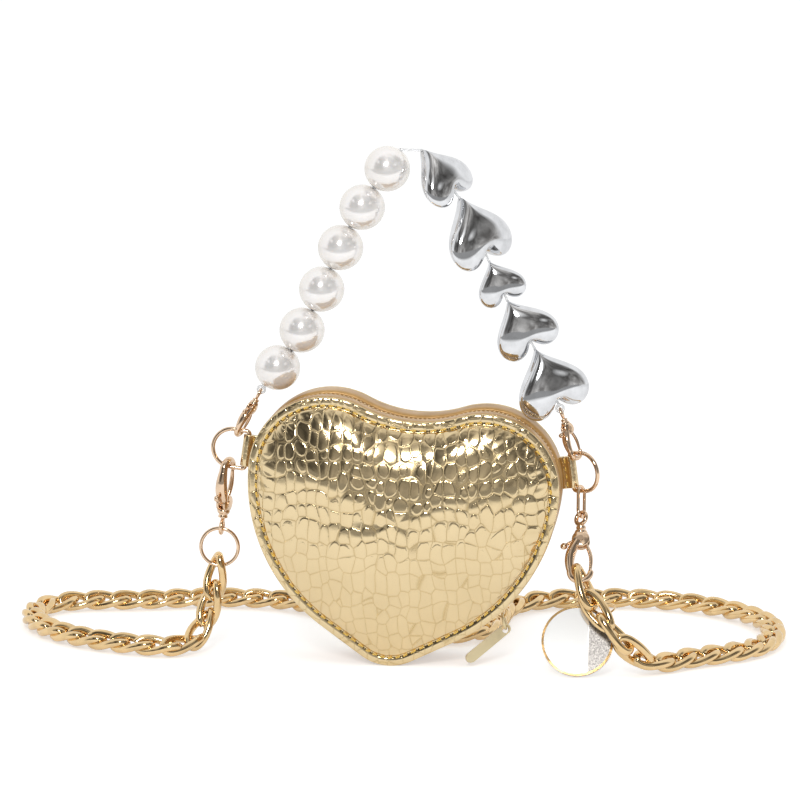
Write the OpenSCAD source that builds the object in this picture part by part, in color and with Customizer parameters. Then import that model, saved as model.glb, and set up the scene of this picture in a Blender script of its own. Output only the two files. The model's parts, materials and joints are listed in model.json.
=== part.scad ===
// Heart shaped mini purse with a beaded top handle and a chain strap laid on the floor.
// Millimetres, +Z up, the front faces -Y.

/* [Heart outline] */
// Radius of each upper lobe
lobe_r = 27; // [25:0.5:28]
// Distance from the middle of the heart to the centre of a lobe
lobe_x = 27.5; // [26:0.5:29]
// Radius of the flank below each lobe
flank_r = 63; // [61:0.5:66]
// Angle of the straight lower edges
lower_angle = 31; // [29:0.5:33]
// Radius of the rounded tip
tip_r = 17.3; // [15:0.1:19]
// Depth of the notch below the tops of the lobes
notch_drop = 5.5; // [4.5:0.5:8]
// Tilt of the whole purse as it stands, clockwise seen from the front
lean = 5.4; // [4:0.1:7]

/* [Purse body] */
// Width of the front side strip
front_strip_w = 6; // [5:0.5:8]
// Width of the zip between the strips
zip_w = 8; // [7.6:0.2:9]
// Width of the rear side strip
rear_strip_w = 9.6; // [9:0.2:12]
// Thickness of the faux leather
leather_t = 1.4; // [1.2:0.1:1.6]
// How far the padded middle of each panel swells out
bulge = 8.5; // [6:0.5:10]
// Width of the flat sewn rim of each panel
rim_w = 3.6; // [3:0.2:4.4]
// Thickness of the lining cloth
lining_t = 0.6; // [0.4:0.1:0.8]

/* [Zip] */
// Distance along the edge from the tip to each end of the zip
zip_end = 40; // [38:1:44]
// Thickness of the zip tape
tape_t = 0.6; // [0.5:0.1:0.7]
// Distance from tooth to tooth
tooth_pitch = 1.6; // [1.4:0.1:2]
// Height of the teeth above the tape
tooth_h = 0.9; // [0.8:0.1:1]
// Width of one row of teeth
tooth_w = 1.5; // [1.3:0.1:1.6]
// Length of the slider
slider_l = 8; // [7:0.5:9]
// Width of the slider
slider_w = 6.4; // [6:0.2:7]
// Thickness of the slider's plates
slider_t = 1; // [0.8:0.1:1.2]
// Length of the pull bar
bar_l = 20; // [16:0.5:20.5]
// Width of the pull bar
bar_w = 3.6; // [3.4:0.1:4.2]
// Thickness of the pull bar
bar_t = 1.5; // [1.2:0.1:1.6]

/* [Tabs and D rings] */
// Angle round the left lobe to the left tab
left_tab_angle = 3; // [1:1:6]
// Angle round the right lobe to the right tab
right_tab_angle = 13; // [10:1:15]
// Length of each tab along the edge
tab_l = 11.4; // [10:0.2:11.6]
// Thickness of the folded tab leather
tab_t = 1.1; // [0.9:0.1:1.2]
// Distance of the D ring's bar outside the edge
tab_reach = 3.4; // [3.2:0.2:4]
// Wire thickness of the D rings
d_wire = 1.5; // [1.3:0.1:1.6]
// Inside height of the D rings
d_inside = 12.1; // [12:0.1:13]
// Straight length of the D rings before the bow
d_straight = 5.5; // [5:0.5:6.5]

/* [Handle] */
// Diameter of the pearls
pearl_d = 16; // [14:0.1:16.1]
// Distance from pearl to pearl
pearl_pitch = 16.2; // [16.2:0.1:17]
// Width of the two large heart beads
large_bead_w = 27; // [25:0.2:28]
// Width of the two middle heart beads
middle_bead_w = 22.8; // [21:0.2:24]
// Width of the small heart bead
small_bead_w = 17.3; // [16:0.1:18]
// Diameter of the bores through the beads
bead_bore = 1.7; // [1.6:0.1:2]
// Thickness of the clear cord
cord_d = 0.9; // [0.7:0.1:1]

/* [Clasps] */
// Size of the two clasps on the handle, as a factor
handle_clasp = 0.9; // [0.88:0.01:0.92]
// Size of the two clasps on the strap, as a factor
strap_clasp = 1.3; // [1.28:0.01:1.32]
// Radius of the hook's middle line
hook_r = 2.7; // [2.6:0.05:2.9]
// Radius of the hook's wire
hook_wire = 0.95; // [0.85:0.05:1]
// Distance from the hook's centre to the lever's pivot
pivot_drop = 9.3; // [9:0.1:9.6]
// Radius of the cheeks round the pivot
cheek_r = 2.4; // [2.3:0.1:2.6]
// Thickness over both cheeks
cheek_w = 3; // [2.8:0.1:3.4]
// Thickness of the lever
lever_t = 0.9; // [0.7:0.1:1]
// Radius of the swivel eye's middle line
eye_r = 1.7; // [1.65:0.05:1.8]
// Radius of the swivel eye's wire
eye_wire = 0.6; // [0.5:0.05:0.6]

/* [Strap] */
// Thickness of the chain's wire
link_wire = 2.4; // [2:0.1:2.4]
// Width of a chain link
link_w = 9.6; // [9.4:0.1:10]
// Distance from link to link
link_pitch = 10; // [9.8:0.1:10.4]
// Outer diameter of the jump ring
ring_d = 14.7; // [14.4:0.1:15]
// Wire thickness of the jump ring
ring_wire = 1.3; // [1.1:0.1:1.4]
// Outer length of the oval link
oval_l = 13; // [12.6:0.1:13.4]
// Outer width of the oval link
oval_w = 5; // [4.8:0.1:5.4]
// Wire thickness of the oval link
oval_wire = 1.2; // [1:0.1:1.3]
// Diameter of the mirror disc
disc_d = 25; // [22:0.5:25.5]
// Thickness of the mirror disc
disc_t = 1.1; // [1:0.1:1.2]
// Thickness of the disc's rim
rim_t = 1.3; // [1.2:0.1:1.4]

/* [Hidden] */
$fn = 48;

// Colours
foil = "#d9c083";
tan_leather = "#c99b58";
gold = "#e0b97c";
tape_pink = "#d9c4b0";
lining_cloth = "#b9a58c";
clear_cord = "#e8e8e8";
pearl_white = "#f3efe6";
chrome_silver = "#c9ccd1";

// Shared play and overruns
overrun = 1;
gap = 0.3;
seat_gap = 0.15;
running_play = 0.05;
radian = 180 / PI;
ball_share = 1.03;
cord_ball_share = 1.3;
cord_end_share = 0.67;
knot_share = 1.6;
knot_end_share = 1.2;
up = [0, 0, 1];

// Heart outline: tip arc, straight line, flank arc, lobe arc and notch arc
depth = front_strip_w + zip_w + rear_strip_w;
y_front = -depth / 2;
y_zip_front = y_front + front_strip_w;
y_zip_rear = y_zip_front + zip_w;
y_rear = depth / 2;
y_zip = (y_zip_front + y_zip_rear) / 2;
y_rings = (y_zip_rear + y_rear) / 2;
flank_x = lobe_x + lobe_r - flank_r;
line_end_x = flank_x + flank_r * sin(lower_angle);
lobe_z = flank_r * cos(lower_angle) + line_end_x * tan(lower_angle)
    - tip_r * (1 / cos(lower_angle) - 1);
notch_h = lobe_r - notch_drop;
notch_r = (lobe_x * lobe_x + notch_h * notch_h - lobe_r * lobe_r) / (2 * notch_drop);
notch_z = lobe_z + notch_h + notch_r;
notch_turn = atan2(lobe_x, notch_h + notch_r);
line_start = tip_r * [sin(lower_angle), 1 - cos(lower_angle)];
to_line = tip_r * lower_angle / radian;
to_flank = to_line + (line_end_x - line_start[0]) / cos(lower_angle);
to_lobe = to_flank + flank_r * (90 - lower_angle) / radian;
to_notch = to_lobe + lobe_r * (90 + notch_turn) / radian;
half_len = to_notch + notch_r * notch_turn / radian;
edge_len = 2 * half_len;
edge_points = 72;
run_step = 4;

// Where the tip of the heart stands in the part's frame
stand_x = -4.8;
stand = [stand_x, 0, tip_r * (1 - cos(lean))];

// Panels: rings of the outline drawn in towards a middle point
middle_z = 0.8 * lobe_z;
rim_share = 1 - rim_w / (lobe_x + lobe_r);
dome_shares = [0.985, 0.95, 0.88, 0.78, 0.64, 0.46, 0.24];
dome_power = 2.4;
dome_round = 0.72;
lining_shares = [1, 0.95, 0.86, 0.68, 0.42];
lining_swell_share = 0.9;
lining_points = 60;

// Zip
tape_lap = 2.5;
slider_play = 0.5;
tooth_share = 0.6;
post_l = 1.5;
post_w = 0.7;
flange_w = 0.8;
crown_r = 1.9;
crown_wire = 0.5;
slider_s = zip_end + slider_l / 2;
teeth_start = zip_end + post_l + 2.5;
slider_angle = lower_angle + (slider_s - to_flank) / flank_r * radian;
stop_l = 2;
pull_wire = 0.9;
pull_link_l = 6.5;
pull_link_w = 6;
link_angles = [-16, -18, 0];
bar_angles = [-28, 47, 0];
bar_hole = 1.4;
bar_edge = 2;

// Tabs and D rings: places where the clasps hang, along the rings' straight wires
d_half = (d_inside + d_wire) / 2;
barrel_r = d_wire / 2 + running_play + tab_t;
left_handle_u = 3.5;
left_strap_u = 5.8;
right_handle_u = 3.1;
right_strap_u = 3.5;
// The strap draws the right ring forwards by this angle
right_ring_swing = 40;

// Handle: headings in degrees above +X, from bead to bead
left_clasp_heading = 62.6;
first_pearl_heading = 50;
pearl_headings = [58.4, 66, 66.8, 62.6, 55.2];
right_clasp_heading = 110.6;
heart_headings = [129, 115.3, 115.1, 119.9, 113];
heart_turns = [50, 44, 8, 8, 22];
heart_widths = [middle_bead_w, large_bead_w, small_bead_w, middle_bead_w, large_bead_w];
// Centre to centre along the string, as a share of the bead's length
heart_pitch_shares = [1.01, 0.97, 0.94, 0.94];
bead_length_share = 0.92;
bead_plump_share = 0.42;
// Heart curve: x = sin cubed, z = a sum of four cosines
heart_x_share = 16;
heart_z_shares = [13, -5, -2, -1];
heart_span_share = 28.9;
heart_notch_share = 5;
heart_tip_share = -17;
bead_points = 32;
bead_shares = [0.3, 0.58, 0.8, 0.94];
loop_r = 1.25;
bead_to_eye = 5.8;
pearl_to_eye = 11.4;
top_gap = 7.32;
top_heading = -0.9;

// Clasps: spin of each about its own length
handle_left_spin = 110;
handle_right_spin = 128;
strap_left_spin = 70;
strap_right_spin = 180;
slot_w = lever_t + 2 * seat_gap;
boss_r = 1.6;
slot_low = boss_r + gap;
slot_high = 2.6;
rivet_r = 0.45;
rivet_head = 0.8;
rivet_cap = 0.25;
neck_l = 1.7;
neck_r = 1.6;
neck_end_r = 1.15;
stem_r = 0.55;
head_r = 0.85;
head_t = 0.5;
pocket_play = 0.1;
gate_w = 1.1;
knob = [-4.4, 1.6];
knob_r = 0.95;
knob_arm_w = 1;
eye_gap = 0.2;
eye_drop = pivot_drop + cheek_r + neck_l + eye_gap + eye_wire + eye_r;
inner_hook_r = hook_r - hook_wire;

// Strap: directions of the two ends, and the route of the chain on the floor
left_dir = unit([-0.116, -0.013, -0.993]);
right_dir = unit([0.03, -0.61, -0.79]);
oval_spin = 127;
link_play = 0.45;
link_inner = link_pitch + link_play;
link_roll = 45;
// Twist spread over the chain's right half, so its last link meets the hook squarely
end_twist = -34;
// Points drawn with the heart's tip at drawn_x
drawn_x = -6;
along_x = [stand_x - drawn_x, 0, 0];
drawn_route = [
    [-68.2, 7, 31.4], [-69.5, 6.5, 22], [-71.5, 5, 13.5], [-74, 1, 6.8], [-78, -4.5, 4],
    [-85, -7.5, 4], [-98, -4.5, 4], [-110, 0.5, 4], [-121, 7.5, 4], [-131, 17, 4],
    [-139, 30, 4], [-143, 45, 4], [-140, 59, 4], [-130, 67, 4], [-117, 69, 4],
    [-102, 72, 4], [-86, 77, 4], [-68, 78, 4], [-52, 75, 4], [-38, 66, 4],
    [-23, 53, 4], [-9, 39, 4], [3, 28, 4], [14, 24, 4], [24, 30, 4],
    [28, 43, 4], [29, 58, 4], [31, 72, 4], [38, 83, 4], [49, 89, 4],
    [64, 92, 4], [79, 92, 4], [94, 88, 4], [106, 81, 4], [117, 71, 4],
    [125, 58, 4], [129, 41, 4], [127, 22, 4], [120, 9, 4], [109, 0, 4],
    [98, -8, 4], [90, -15.5, 4], [83.5, -21, 6.5], [78, -24.4, 12], [72.8, -24.2, 18],
    [67.3, -21.4, 24], [63.8, -18.2, 29.4], [62, -15, 34.5]
];
route = [for (p = drawn_route) p + along_x];
curve_steps = 8;
run_shares = [0, 0.063, 0.28, 0.62, 0.91, 1];

// Mirror disc, hung from a wire of the chain near its right end
disc_middle = [61.6, -19.2, 11.8] + along_x;
disc_lean = 27;
disc_hole_angle = 62;
disc_hole_r = 1.6;
disc_rim_w = 0.8;
disc_ring_wire = 0.7;
disc_ring_slack = 0.15;
disc_ring_turn = -11;
disc_link = 2;
disc_side = -1;

function unit(v) = v / norm(v);
function across(n, t) = unit(n - (n * t) * t);

// A point on the edge of the heart, a distance along it from the tip, set in by d
function right_edge(s, d) =
    s < to_line ? [(tip_r - d) * sin(s / tip_r * radian), tip_r - (tip_r - d) * cos(s / tip_r * radian)]
    : s < to_flank ? line_start + (s - to_line) * [cos(lower_angle), sin(lower_angle)]
        + d * [-sin(lower_angle), cos(lower_angle)]
    : s < to_lobe ? flank_point(lower_angle + (s - to_flank) / flank_r * radian, d)
    : s < to_notch ? lobe_point((s - to_lobe) / lobe_r * radian, d)
    : notch_point((half_len - s) / notch_r * radian, d);
function flank_point(a, d) = [flank_x + (flank_r - d) * sin(a), lobe_z - (flank_r - d) * cos(a)];
function lobe_point(a, d) = [lobe_x + (lobe_r - d) * cos(a), lobe_z + (lobe_r - d) * sin(a)];
function notch_point(a, d) = [(notch_r + d) * sin(a), notch_z - (notch_r + d) * cos(a)];
function flipped(p) = [-p[0], p[1]];
function edge(s, d) =
    s < 0 ? flipped(right_edge(-s, d))
    : s > half_len ? flipped(right_edge(edge_len - s, d))
    : right_edge(s, d);
function outline(d, n) = [for (i = [0 : n - 1]) edge(i / n * edge_len, d)];
function run(s0, s1, d) =
    let (n = ceil((s1 - s0) / run_step))
    [for (i = [0 : n]) edge(s0 + i / n * (s1 - s0), d)];
function reversed(list) = [for (i = [len(list) - 1 : -1 : 0]) list[i]];

// From the purse's own upright frame to the part's frame
function leaned(p) =
    stand + [p[0] * cos(lean) + p[2] * sin(lean), p[1], p[2] * cos(lean) - p[0] * sin(lean)];
module in_purse() translate(stand) rotate([0, lean, 0]) children();

// An outline in x and z, given a thickness along Y
module upright(y0, y1) translate([0, y1, 0]) rotate([90, 0, 0]) linear_extrude(y1 - y0) children();

module aim(v) {
    c = atan2(v[1], v[0]);
    b = atan2(norm([v[0], v[1]]), v[2]);
    rotate([0, 0, c]) rotate([0, b, 0]) rotate([0, 0, -c]) children();
}

module rod(a, b, r) translate(a) aim(b - a) cylinder(h = norm(b - a), r = r);

// A closed skin through a stack of rings, from one pole to the other
module lofted(rings, first_pole, last_pole) {
    n = len(rings[0]);
    k = len(rings);
    points = concat([for (ring = rings) for (p = ring) p], [first_pole, last_pole]);
    next = function (i) (i + 1) % n;
    faces = concat(
        [for (i = [0 : n - 1]) [i, k * n, next(i)]],
        [for (j = [0 : k - 2]) for (i = [0 : n - 1]) [(j + 1) * n + i, j * n + i, j * n + next(i)]],
        [for (j = [0 : k - 2]) for (i = [0 : n - 1])
            [(j + 1) * n + i, j * n + next(i), (j + 1) * n + next(i)]],
        [for (i = [0 : n - 1]) [(k - 1) * n + i, (k - 1) * n + next(i), k * n + 1]]
    );
    polyhedron(points, faces);
}

// Swell of a panel at a share of the way from its middle to its rim
function swell(share) =
    share >= rim_share ? 0 : bulge * pow(1 - pow(share / rim_share, dome_power), dome_round);
function ring_at(share, d, y, n) =
    [for (p = outline(d, n)) [share * p[0], y, middle_z + share * (p[1] - middle_z)]];

module panel() {
    shares = concat([1, rim_share], [for (s = dome_shares) s * rim_share]);
    outer = [for (s = shares) ring_at(s, 0, y_front - leather_t - swell(s), edge_points)];
    inner = [for (s = shares) ring_at(s, 0, y_front - swell(s), edge_points)];
    lofted(concat(reversed(outer), inner),
        [0, y_front - leather_t - bulge, middle_z], [0, y_front - bulge, middle_z]);
}

// A cup of cloth behind a panel, with a skirt along the strip
module lining(skirt) {
    d = leather_t + tape_t + seat_gap + gap;
    n = lining_points;
    shares = [for (s = lining_shares) s * rim_share];
    outer = concat([ring_at(1, d, y_front + skirt, n), ring_at(1, d, y_front + gap, n)],
        [for (s = shares) ring_at(s, 0, y_front + gap - lining_swell_share * swell(s), n)]);
    inner = concat([ring_at(1, d + lining_t, y_front + skirt, n),
        ring_at(1, d + lining_t, y_front + gap + lining_t, n)],
        [for (s = shares) ring_at(s, 0, y_front + gap + lining_t - lining_swell_share * swell(s), n)]);
    lofted(concat(reversed(outer), inner),
        [0, y_front + gap - lining_swell_share * bulge, middle_z],
        [0, y_front + gap + lining_t - lining_swell_share * bulge, middle_z]);
}

module strip(y0, y1) upright(y0, y1) difference() {
    polygon(outline(0, edge_points));
    polygon(outline(leather_t, edge_points));
}

// A band along part of the edge, between two depths below it
module band(s0, s1, d0, d1, y0, y1) upright(y0, y1)
    polygon(concat(run(s0, s1, d0), reversed(run(s0, s1, d1))));

module tape(start, y0, y1)
    band(start, edge_len - zip_end, leather_t + seat_gap, leather_t + seat_gap + tape_t, y0, y1);

module teeth(y0, y1) {
    low = leather_t;
    high = leather_t - tooth_h;
    count = floor((edge_len - zip_end - stop_l - teeth_start) / tooth_pitch);
    starts = [for (i = [0 : count - 1]) teeth_start + i * tooth_pitch];
    web = low - tooth_h / 4;
    upright(y0, y1) polygon(concat(
        [for (s = starts) for (step = [[0, web], [0, high], [tooth_share, high], [tooth_share, web]])
            edge(s + step[0] * tooth_pitch, step[1])],
        reversed(run(teeth_start, teeth_start + count * tooth_pitch, low))));
}

module back_panel() color(foil) in_purse() mirror([0, 1, 0]) panel();
module front_panel() color(foil) in_purse() panel();
module rear_strip() color(tan_leather) in_purse() strip(y_zip_rear, y_rear);
module front_strip() color(tan_leather) in_purse() strip(y_front, y_zip_front);
module rear_lining() color(lining_cloth) in_purse() mirror([0, 1, 0])
    lining(rear_strip_w - tape_lap - gap);
module front_lining() color(lining_cloth) in_purse() lining(front_strip_w - tape_lap - gap);
module bottom_gusset() color(tan_leather) in_purse()
    band(-zip_end + gap, zip_end - gap, 0, leather_t, y_zip_front + gap, y_zip_rear);
module rear_zip_tape() color(tape_pink) in_purse() tape(zip_end, y_zip + gap, y_zip_rear + tape_lap);
module front_zip_tape() color(tape_pink) in_purse()
    tape(teeth_start, y_zip_front - tape_lap, y_zip - gap);
module rear_zip_teeth() color(gold) in_purse() teeth(y_zip + seat_gap, y_zip + seat_gap + tooth_w);
module front_zip_teeth() color(gold) in_purse() teeth(y_zip - seat_gap - tooth_w, y_zip - seat_gap);
module zip_stop() color(gold) in_purse() band(edge_len - zip_end - stop_l, edge_len - zip_end,
    leather_t - tooth_h, leather_t, y_zip + seat_gap, y_zip + seat_gap + tooth_w);

// The slider's own frame: +X runs down the edge towards the tip, +Z points out of the edge
slider_place = flank_point(slider_angle, 0);
module at_slider() in_purse() translate([slider_place[0], y_zip, slider_place[1]])
    rotate([0, 180 - slider_angle, 0]) children();
slider_floor = -(leather_t + seat_gap + tape_t + slider_play);
slider_top = -(leather_t - tooth_h) + slider_play;

module block(x0, x1, y0, y1, z0, z1) translate([x0, y0, z0]) cube([x1 - x0, y1 - y0, z1 - z0]);

module zip_slider() color(gold) at_slider() {
    l = slider_l / 2;
    w = slider_w / 2;
    flange_low = -leather_t + slider_play;
    block(-l, l, -w, w, slider_top, slider_top + slider_t);
    block(-l, l, -w, w, slider_floor - slider_t, slider_floor);
    block(l - post_l, l, -seat_gap - post_w, -seat_gap, slider_floor, slider_top);
    block(-l, l, w - flange_w, w, flange_low, slider_top);
    translate([0, 0, slider_top + slider_t]) rotate([90, 0, 0])
        rotate_extrude(angle = 180) translate([crown_r, 0]) circle(crown_wire);
}

// Frames of the pull: its link hangs under the crown, its bar hangs in the link
link_seat = crown_r - crown_wire - pull_wire / 2 - gap;
crown_z = slider_top + slider_t + link_seat;
pull_top = [slider_place[0] + crown_z * sin(slider_angle), y_zip,
    slider_place[1] - crown_z * cos(slider_angle)];
function turned(a, v) =
    let (p = [v[0], v[1] * cos(a[0]) - v[2] * sin(a[0]), v[1] * sin(a[0]) + v[2] * cos(a[0])])
    [p[0] * cos(a[1]) + p[2] * sin(a[1]), p[1], p[2] * cos(a[1]) - p[0] * sin(a[1])];
pull_end = pull_top + turned(link_angles, [0, 0, pull_wire - pull_link_l]);

// A ring of round wire with two straight sides, long way down from the origin
module stadium_ring(l, w, wire) {
    r = (w - wire) / 2;
    straight = l - w;
    for (side = [-1, 1]) {
        translate([0, 0, side * straight / 2]) rotate([90, 0, 0]) rotate([0, 0, side > 0 ? 0 : 180])
            rotate_extrude(angle = 180) translate([r, 0]) circle(wire / 2);
        rod([side * r, 0, -straight / 2], [side * r, 0, straight / 2], wire / 2);
    }
}

module pull_link() color(gold) in_purse() translate(pull_top) rotate(link_angles)
    translate([0, 0, -(pull_link_l - pull_wire) / 2]) rotate([0, 0, 90])
        stadium_ring(pull_link_l, pull_link_w, pull_wire);

bar_drop = bar_hole - pull_wire / 2 - 2 * gap;
module pull_bar() color(gold) in_purse() translate(pull_end) rotate(bar_angles)
    translate([0, 0, -bar_drop]) upright(-bar_t / 2, bar_t / 2) difference() {
        r = bar_w / 2;
        union() {
            translate([0, bar_edge - r]) circle(r);
            translate([0, bar_edge - bar_l + r]) circle(r);
            translate([-r, bar_edge - bar_l + r]) square([bar_w, bar_l - bar_w]);
        }
        circle(bar_hole);
    }

// Tabs and D rings: the ring's own frame has its bar along Z and its bow towards +X
function ring_angle(side) = side > 0 ? right_tab_angle : left_tab_angle;
function ring_swing(side) = side > 0 ? right_ring_swing : 0;
function ring_point(side, u, v) =
    let (a = ring_angle(side), r = lobe_r + tab_reach + u * cos(ring_swing(side)))
    leaned([side * (lobe_x + r * cos(a) - v * sin(a)), y_rings - u * sin(ring_swing(side)),
        lobe_z + r * sin(a) + v * cos(a)]);
module at_ring(side) mirror([side > 0 ? 0 : 1, 0, 0]) {
    a = ring_angle(side);
    r = lobe_r + tab_reach;
    translate([lobe_x + r * cos(a), y_rings, lobe_z + r * sin(a)]) rotate([0, -a, 0]) children();
}

module tab(side) color(tan_leather) in_purse() difference() {
    at_ring(side) {
        translate([0, 0, -tab_l / 2]) cylinder(h = tab_l, r = barrel_r);
        block(-tab_reach - leather_t, 0, -tab_t, tab_t, -tab_l / 2, tab_l / 2);
    }
    at_ring(side) translate([0, 0, -tab_l / 2 - overrun])
        cylinder(h = tab_l + 2 * overrun, r = d_wire / 2 + running_play);
    upright(y_zip_rear, y_rear) polygon(outline(0, edge_points));
}
module left_tab() tab(-1);
module right_tab() tab(1);

module d_ring(side) color(gold) in_purse() at_ring(side) rotate([0, 0, -ring_swing(side)]) {
    r = d_wire / 2;
    rod([0, 0, -d_half], [0, 0, d_half], r);
    for (v = [-d_half, d_half]) {
        translate([0, 0, v]) sphere(r * ball_share);
        rod([0, 0, v], [d_straight, 0, v], r);
    }
    translate([d_straight, 0, 0]) rotate([90, 0, 0]) rotate([0, 0, -90])
        rotate_extrude(angle = 180) translate([d_half, 0]) circle(r);
}
module left_d_ring() d_ring(-1);
module right_d_ring() d_ring(1);

// A clasp's own frame: hook's centre at the origin, hook's top at +Z, gate on +X, eye at -Z
module rod_disc(r, w) rotate([90, 0, 0]) translate([0, 0, -w / 2]) cylinder(h = w, r = r);

module clasp_body() difference() {
    union() {
        rotate([90, 0, 0]) rotate_extrude(angle = 180) translate([hook_r, 0]) circle(hook_wire);
        translate([-hook_r, 0, 0]) sphere(hook_wire * ball_share);
        rod([-hook_r, 0, 0], [-cheek_r / 2, 0, -pivot_drop], hook_wire);
        translate([0, 0, -pivot_drop]) rod_disc(cheek_r, cheek_w);
        translate([0, 0, -pivot_drop - cheek_r - neck_l])
            cylinder(h = neck_l + cheek_r / 2, r1 = neck_end_r, r2 = neck_r);
    }
    block(-2 * cheek_r, 2 * cheek_r, -slot_w / 2, slot_w / 2,
        -pivot_drop - slot_low, -pivot_drop + slot_high);
    translate([0, 0, -pivot_drop]) rod_disc(rivet_r, cheek_w + 2 * overrun);
    translate([0, 0, -pivot_drop - slot_low - head_t - 2 * pocket_play])
        cylinder(h = head_t + 3 * pocket_play, r = head_r + pocket_play);
    translate([0, 0, -eye_drop]) cylinder(h = eye_drop - pivot_drop - slot_low,
        r = stem_r + running_play);
}

module lever() {
    tip = [hook_r, -gap];
    pivot = [0, -pivot_drop];
    reach = tip - pivot;
    upright(-lever_t / 2, lever_t / 2) difference() {
        union() {
            translate(pivot) circle(boss_r);
            translate(pivot) rotate(atan2(reach[1], reach[0])) translate([0, -gate_w / 2])
                square([norm(reach), gate_w]);
            translate(pivot) rotate(atan2(knob[1], knob[0])) translate([0, -knob_arm_w / 2])
                square([norm(knob), knob_arm_w]);
            translate(pivot + knob) circle(knob_r);
        }
        translate(pivot) circle(rivet_r + running_play);
    }
}

module rivet() translate([0, 0, -pivot_drop]) {
    rod_disc(rivet_r, cheek_w);
    for (side = [-1, 1]) translate([0, side * (cheek_w + rivet_cap) / 2, 0])
        rod_disc(rivet_head, rivet_cap);
}

module swivel_eye(turn) {
    head_z = -pivot_drop - slot_low - head_t - pocket_play;
    stem_l = head_z + eye_drop - eye_r;
    translate([0, 0, head_z]) cylinder(h = head_t, r = head_r);
    translate([0, 0, head_z - stem_l]) cylinder(h = stem_l, r = stem_r);
    translate([0, 0, -eye_drop]) rotate([90, 0, turn]) rotate_extrude()
        translate([eye_r, 0]) circle(eye_wire);
}

// Places of the four clasps: hook's centre, direction of the hook, spin and size
function heading(a) = [cos(a), 0, sin(a)];
function hook_seat(size, wire) = inner_hook_r * size - wire / 2 - gap;
handle_seat = hook_seat(handle_clasp, d_wire);
left_grip = ring_point(-1, left_handle_u, d_half);
right_grip = ring_point(1, right_handle_u, d_half);
left_hang = ring_point(-1, left_strap_u, -d_half);
right_hang = ring_point(1, right_strap_u, -d_half);
handle_reach = handle_seat + eye_drop * handle_clasp;
right_back = asin((y_rings - right_grip[1]) / handle_reach);
right_clasp_dir = cos(right_back) * heading(right_clasp_heading) + [0, sin(right_back), 0];
handle_left_hook = left_grip + handle_seat * heading(left_clasp_heading);
handle_right_hook = right_grip + handle_seat * right_clasp_dir;
strap_left_hook = left_hang + hook_seat(strap_clasp, d_wire) * left_dir;
oval_top = -(d_wire + oval_wire) / 2 - gap;
oval_end = oval_top + oval_l - oval_wire;
right_eye_t = oval_end - oval_wire / 2 - seat_gap + (eye_r - eye_wire) * strap_clasp;
strap_right_hook = right_hang + (right_eye_t + eye_drop * strap_clasp) * right_dir;

module at_clasp(place, direction, spin, size) {
    z = unit(direction);
    y = across([0, 1, 0], z);
    x = cross(y, z);
    multmatrix([[x[0], y[0], z[0], place[0]], [x[1], y[1], z[1], place[1]], [x[2], y[2], z[2], place[2]]])
        rotate([0, 0, spin]) scale(size) children();
}
module at_handle_left() at_clasp(handle_left_hook, -heading(left_clasp_heading),
    handle_left_spin, handle_clasp) children();
module at_handle_right() at_clasp(handle_right_hook, -right_clasp_dir,
    handle_right_spin, handle_clasp) children();
module at_strap_left() at_clasp(strap_left_hook, -left_dir, strap_left_spin, strap_clasp) children();
module at_strap_right() at_clasp(strap_right_hook, right_dir, strap_right_spin, strap_clasp) children();

module handle_left_clasp() color(gold) at_handle_left() clasp_body();
module handle_left_lever() color(gold) at_handle_left() lever();
module handle_left_rivet() color(gold) at_handle_left() rivet();
module handle_left_eye() color(gold) at_handle_left() swivel_eye(90 - handle_left_spin);
module handle_right_clasp() color(gold) at_handle_right() clasp_body();
module handle_right_lever() color(gold) at_handle_right() lever();
module handle_right_rivet() color(gold) at_handle_right() rivet();
module handle_right_eye() color(gold) at_handle_right() swivel_eye(90 - handle_right_spin);
module strap_left_clasp() color(gold) at_strap_left() clasp_body();
module strap_left_lever() color(gold) at_strap_left() lever();
module strap_left_rivet() color(gold) at_strap_left() rivet();
module strap_left_eye() color(gold) at_strap_left() swivel_eye(90 - strap_left_spin);
module strap_right_clasp() color(gold) at_strap_right() clasp_body();
module strap_right_lever() color(gold) at_strap_right() lever();
module strap_right_rivet() color(gold) at_strap_right() rivet();
module strap_right_eye() color(gold) at_strap_right() swivel_eye(oval_spin - 90);

// Handle: pearls up from the left eye, hearts up from the right eye, a cord between them
left_eye = handle_left_hook + eye_drop * handle_clasp * heading(left_clasp_heading);
right_eye = handle_right_hook + eye_drop * handle_clasp * right_clasp_dir;
pearl_count = len(pearl_headings) + 1;
function bead_len(i) = bead_length_share * heart_widths[i];
function bead_to_notch(i) = bead_len(i) * (heart_notch_share - heart_tip_share) / heart_span_share;
heart_count = len(heart_widths);
last_heart = heart_count - 1;
function bead_step(i) =
    i == last_heart ? bead_to_eye + bead_to_notch(i) : heart_pitch_shares[i] * bead_len(i);

// Each string of beads leans at its clasp until the two meet at the top
function summed(steps, i = 0) = i < len(steps) ? steps[i] + summed(steps, i + 1) : [0, 0, 0];
last_pearl_heading = pearl_headings[pearl_count - 2];
left_reach = summed(concat([pearl_to_eye * heading(first_pearl_heading)],
    [for (a = pearl_headings) pearl_pitch * heading(a)],
    [pearl_pitch / 2 * heading(last_pearl_heading), top_gap * heading(top_heading)]));
right_reach = summed([for (i = [0 : last_heart]) bead_step(i) * heading(heart_headings[i])]);
span = right_eye - left_eye;
function slope(v) = atan2(v[2], v[0]);
function corner(a, b, c) = acos((a * a + b * b - c * c) / (2 * a * b));
left_lean = slope(span) + corner(norm(span), norm(left_reach), norm(right_reach)) - slope(left_reach);
right_lean = slope(span) + 180 - corner(norm(span), norm(right_reach), norm(left_reach))
    - slope(right_reach);
function left_way(a) = heading(a + left_lean);
function right_way(a) = heading(a + right_lean);
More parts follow.
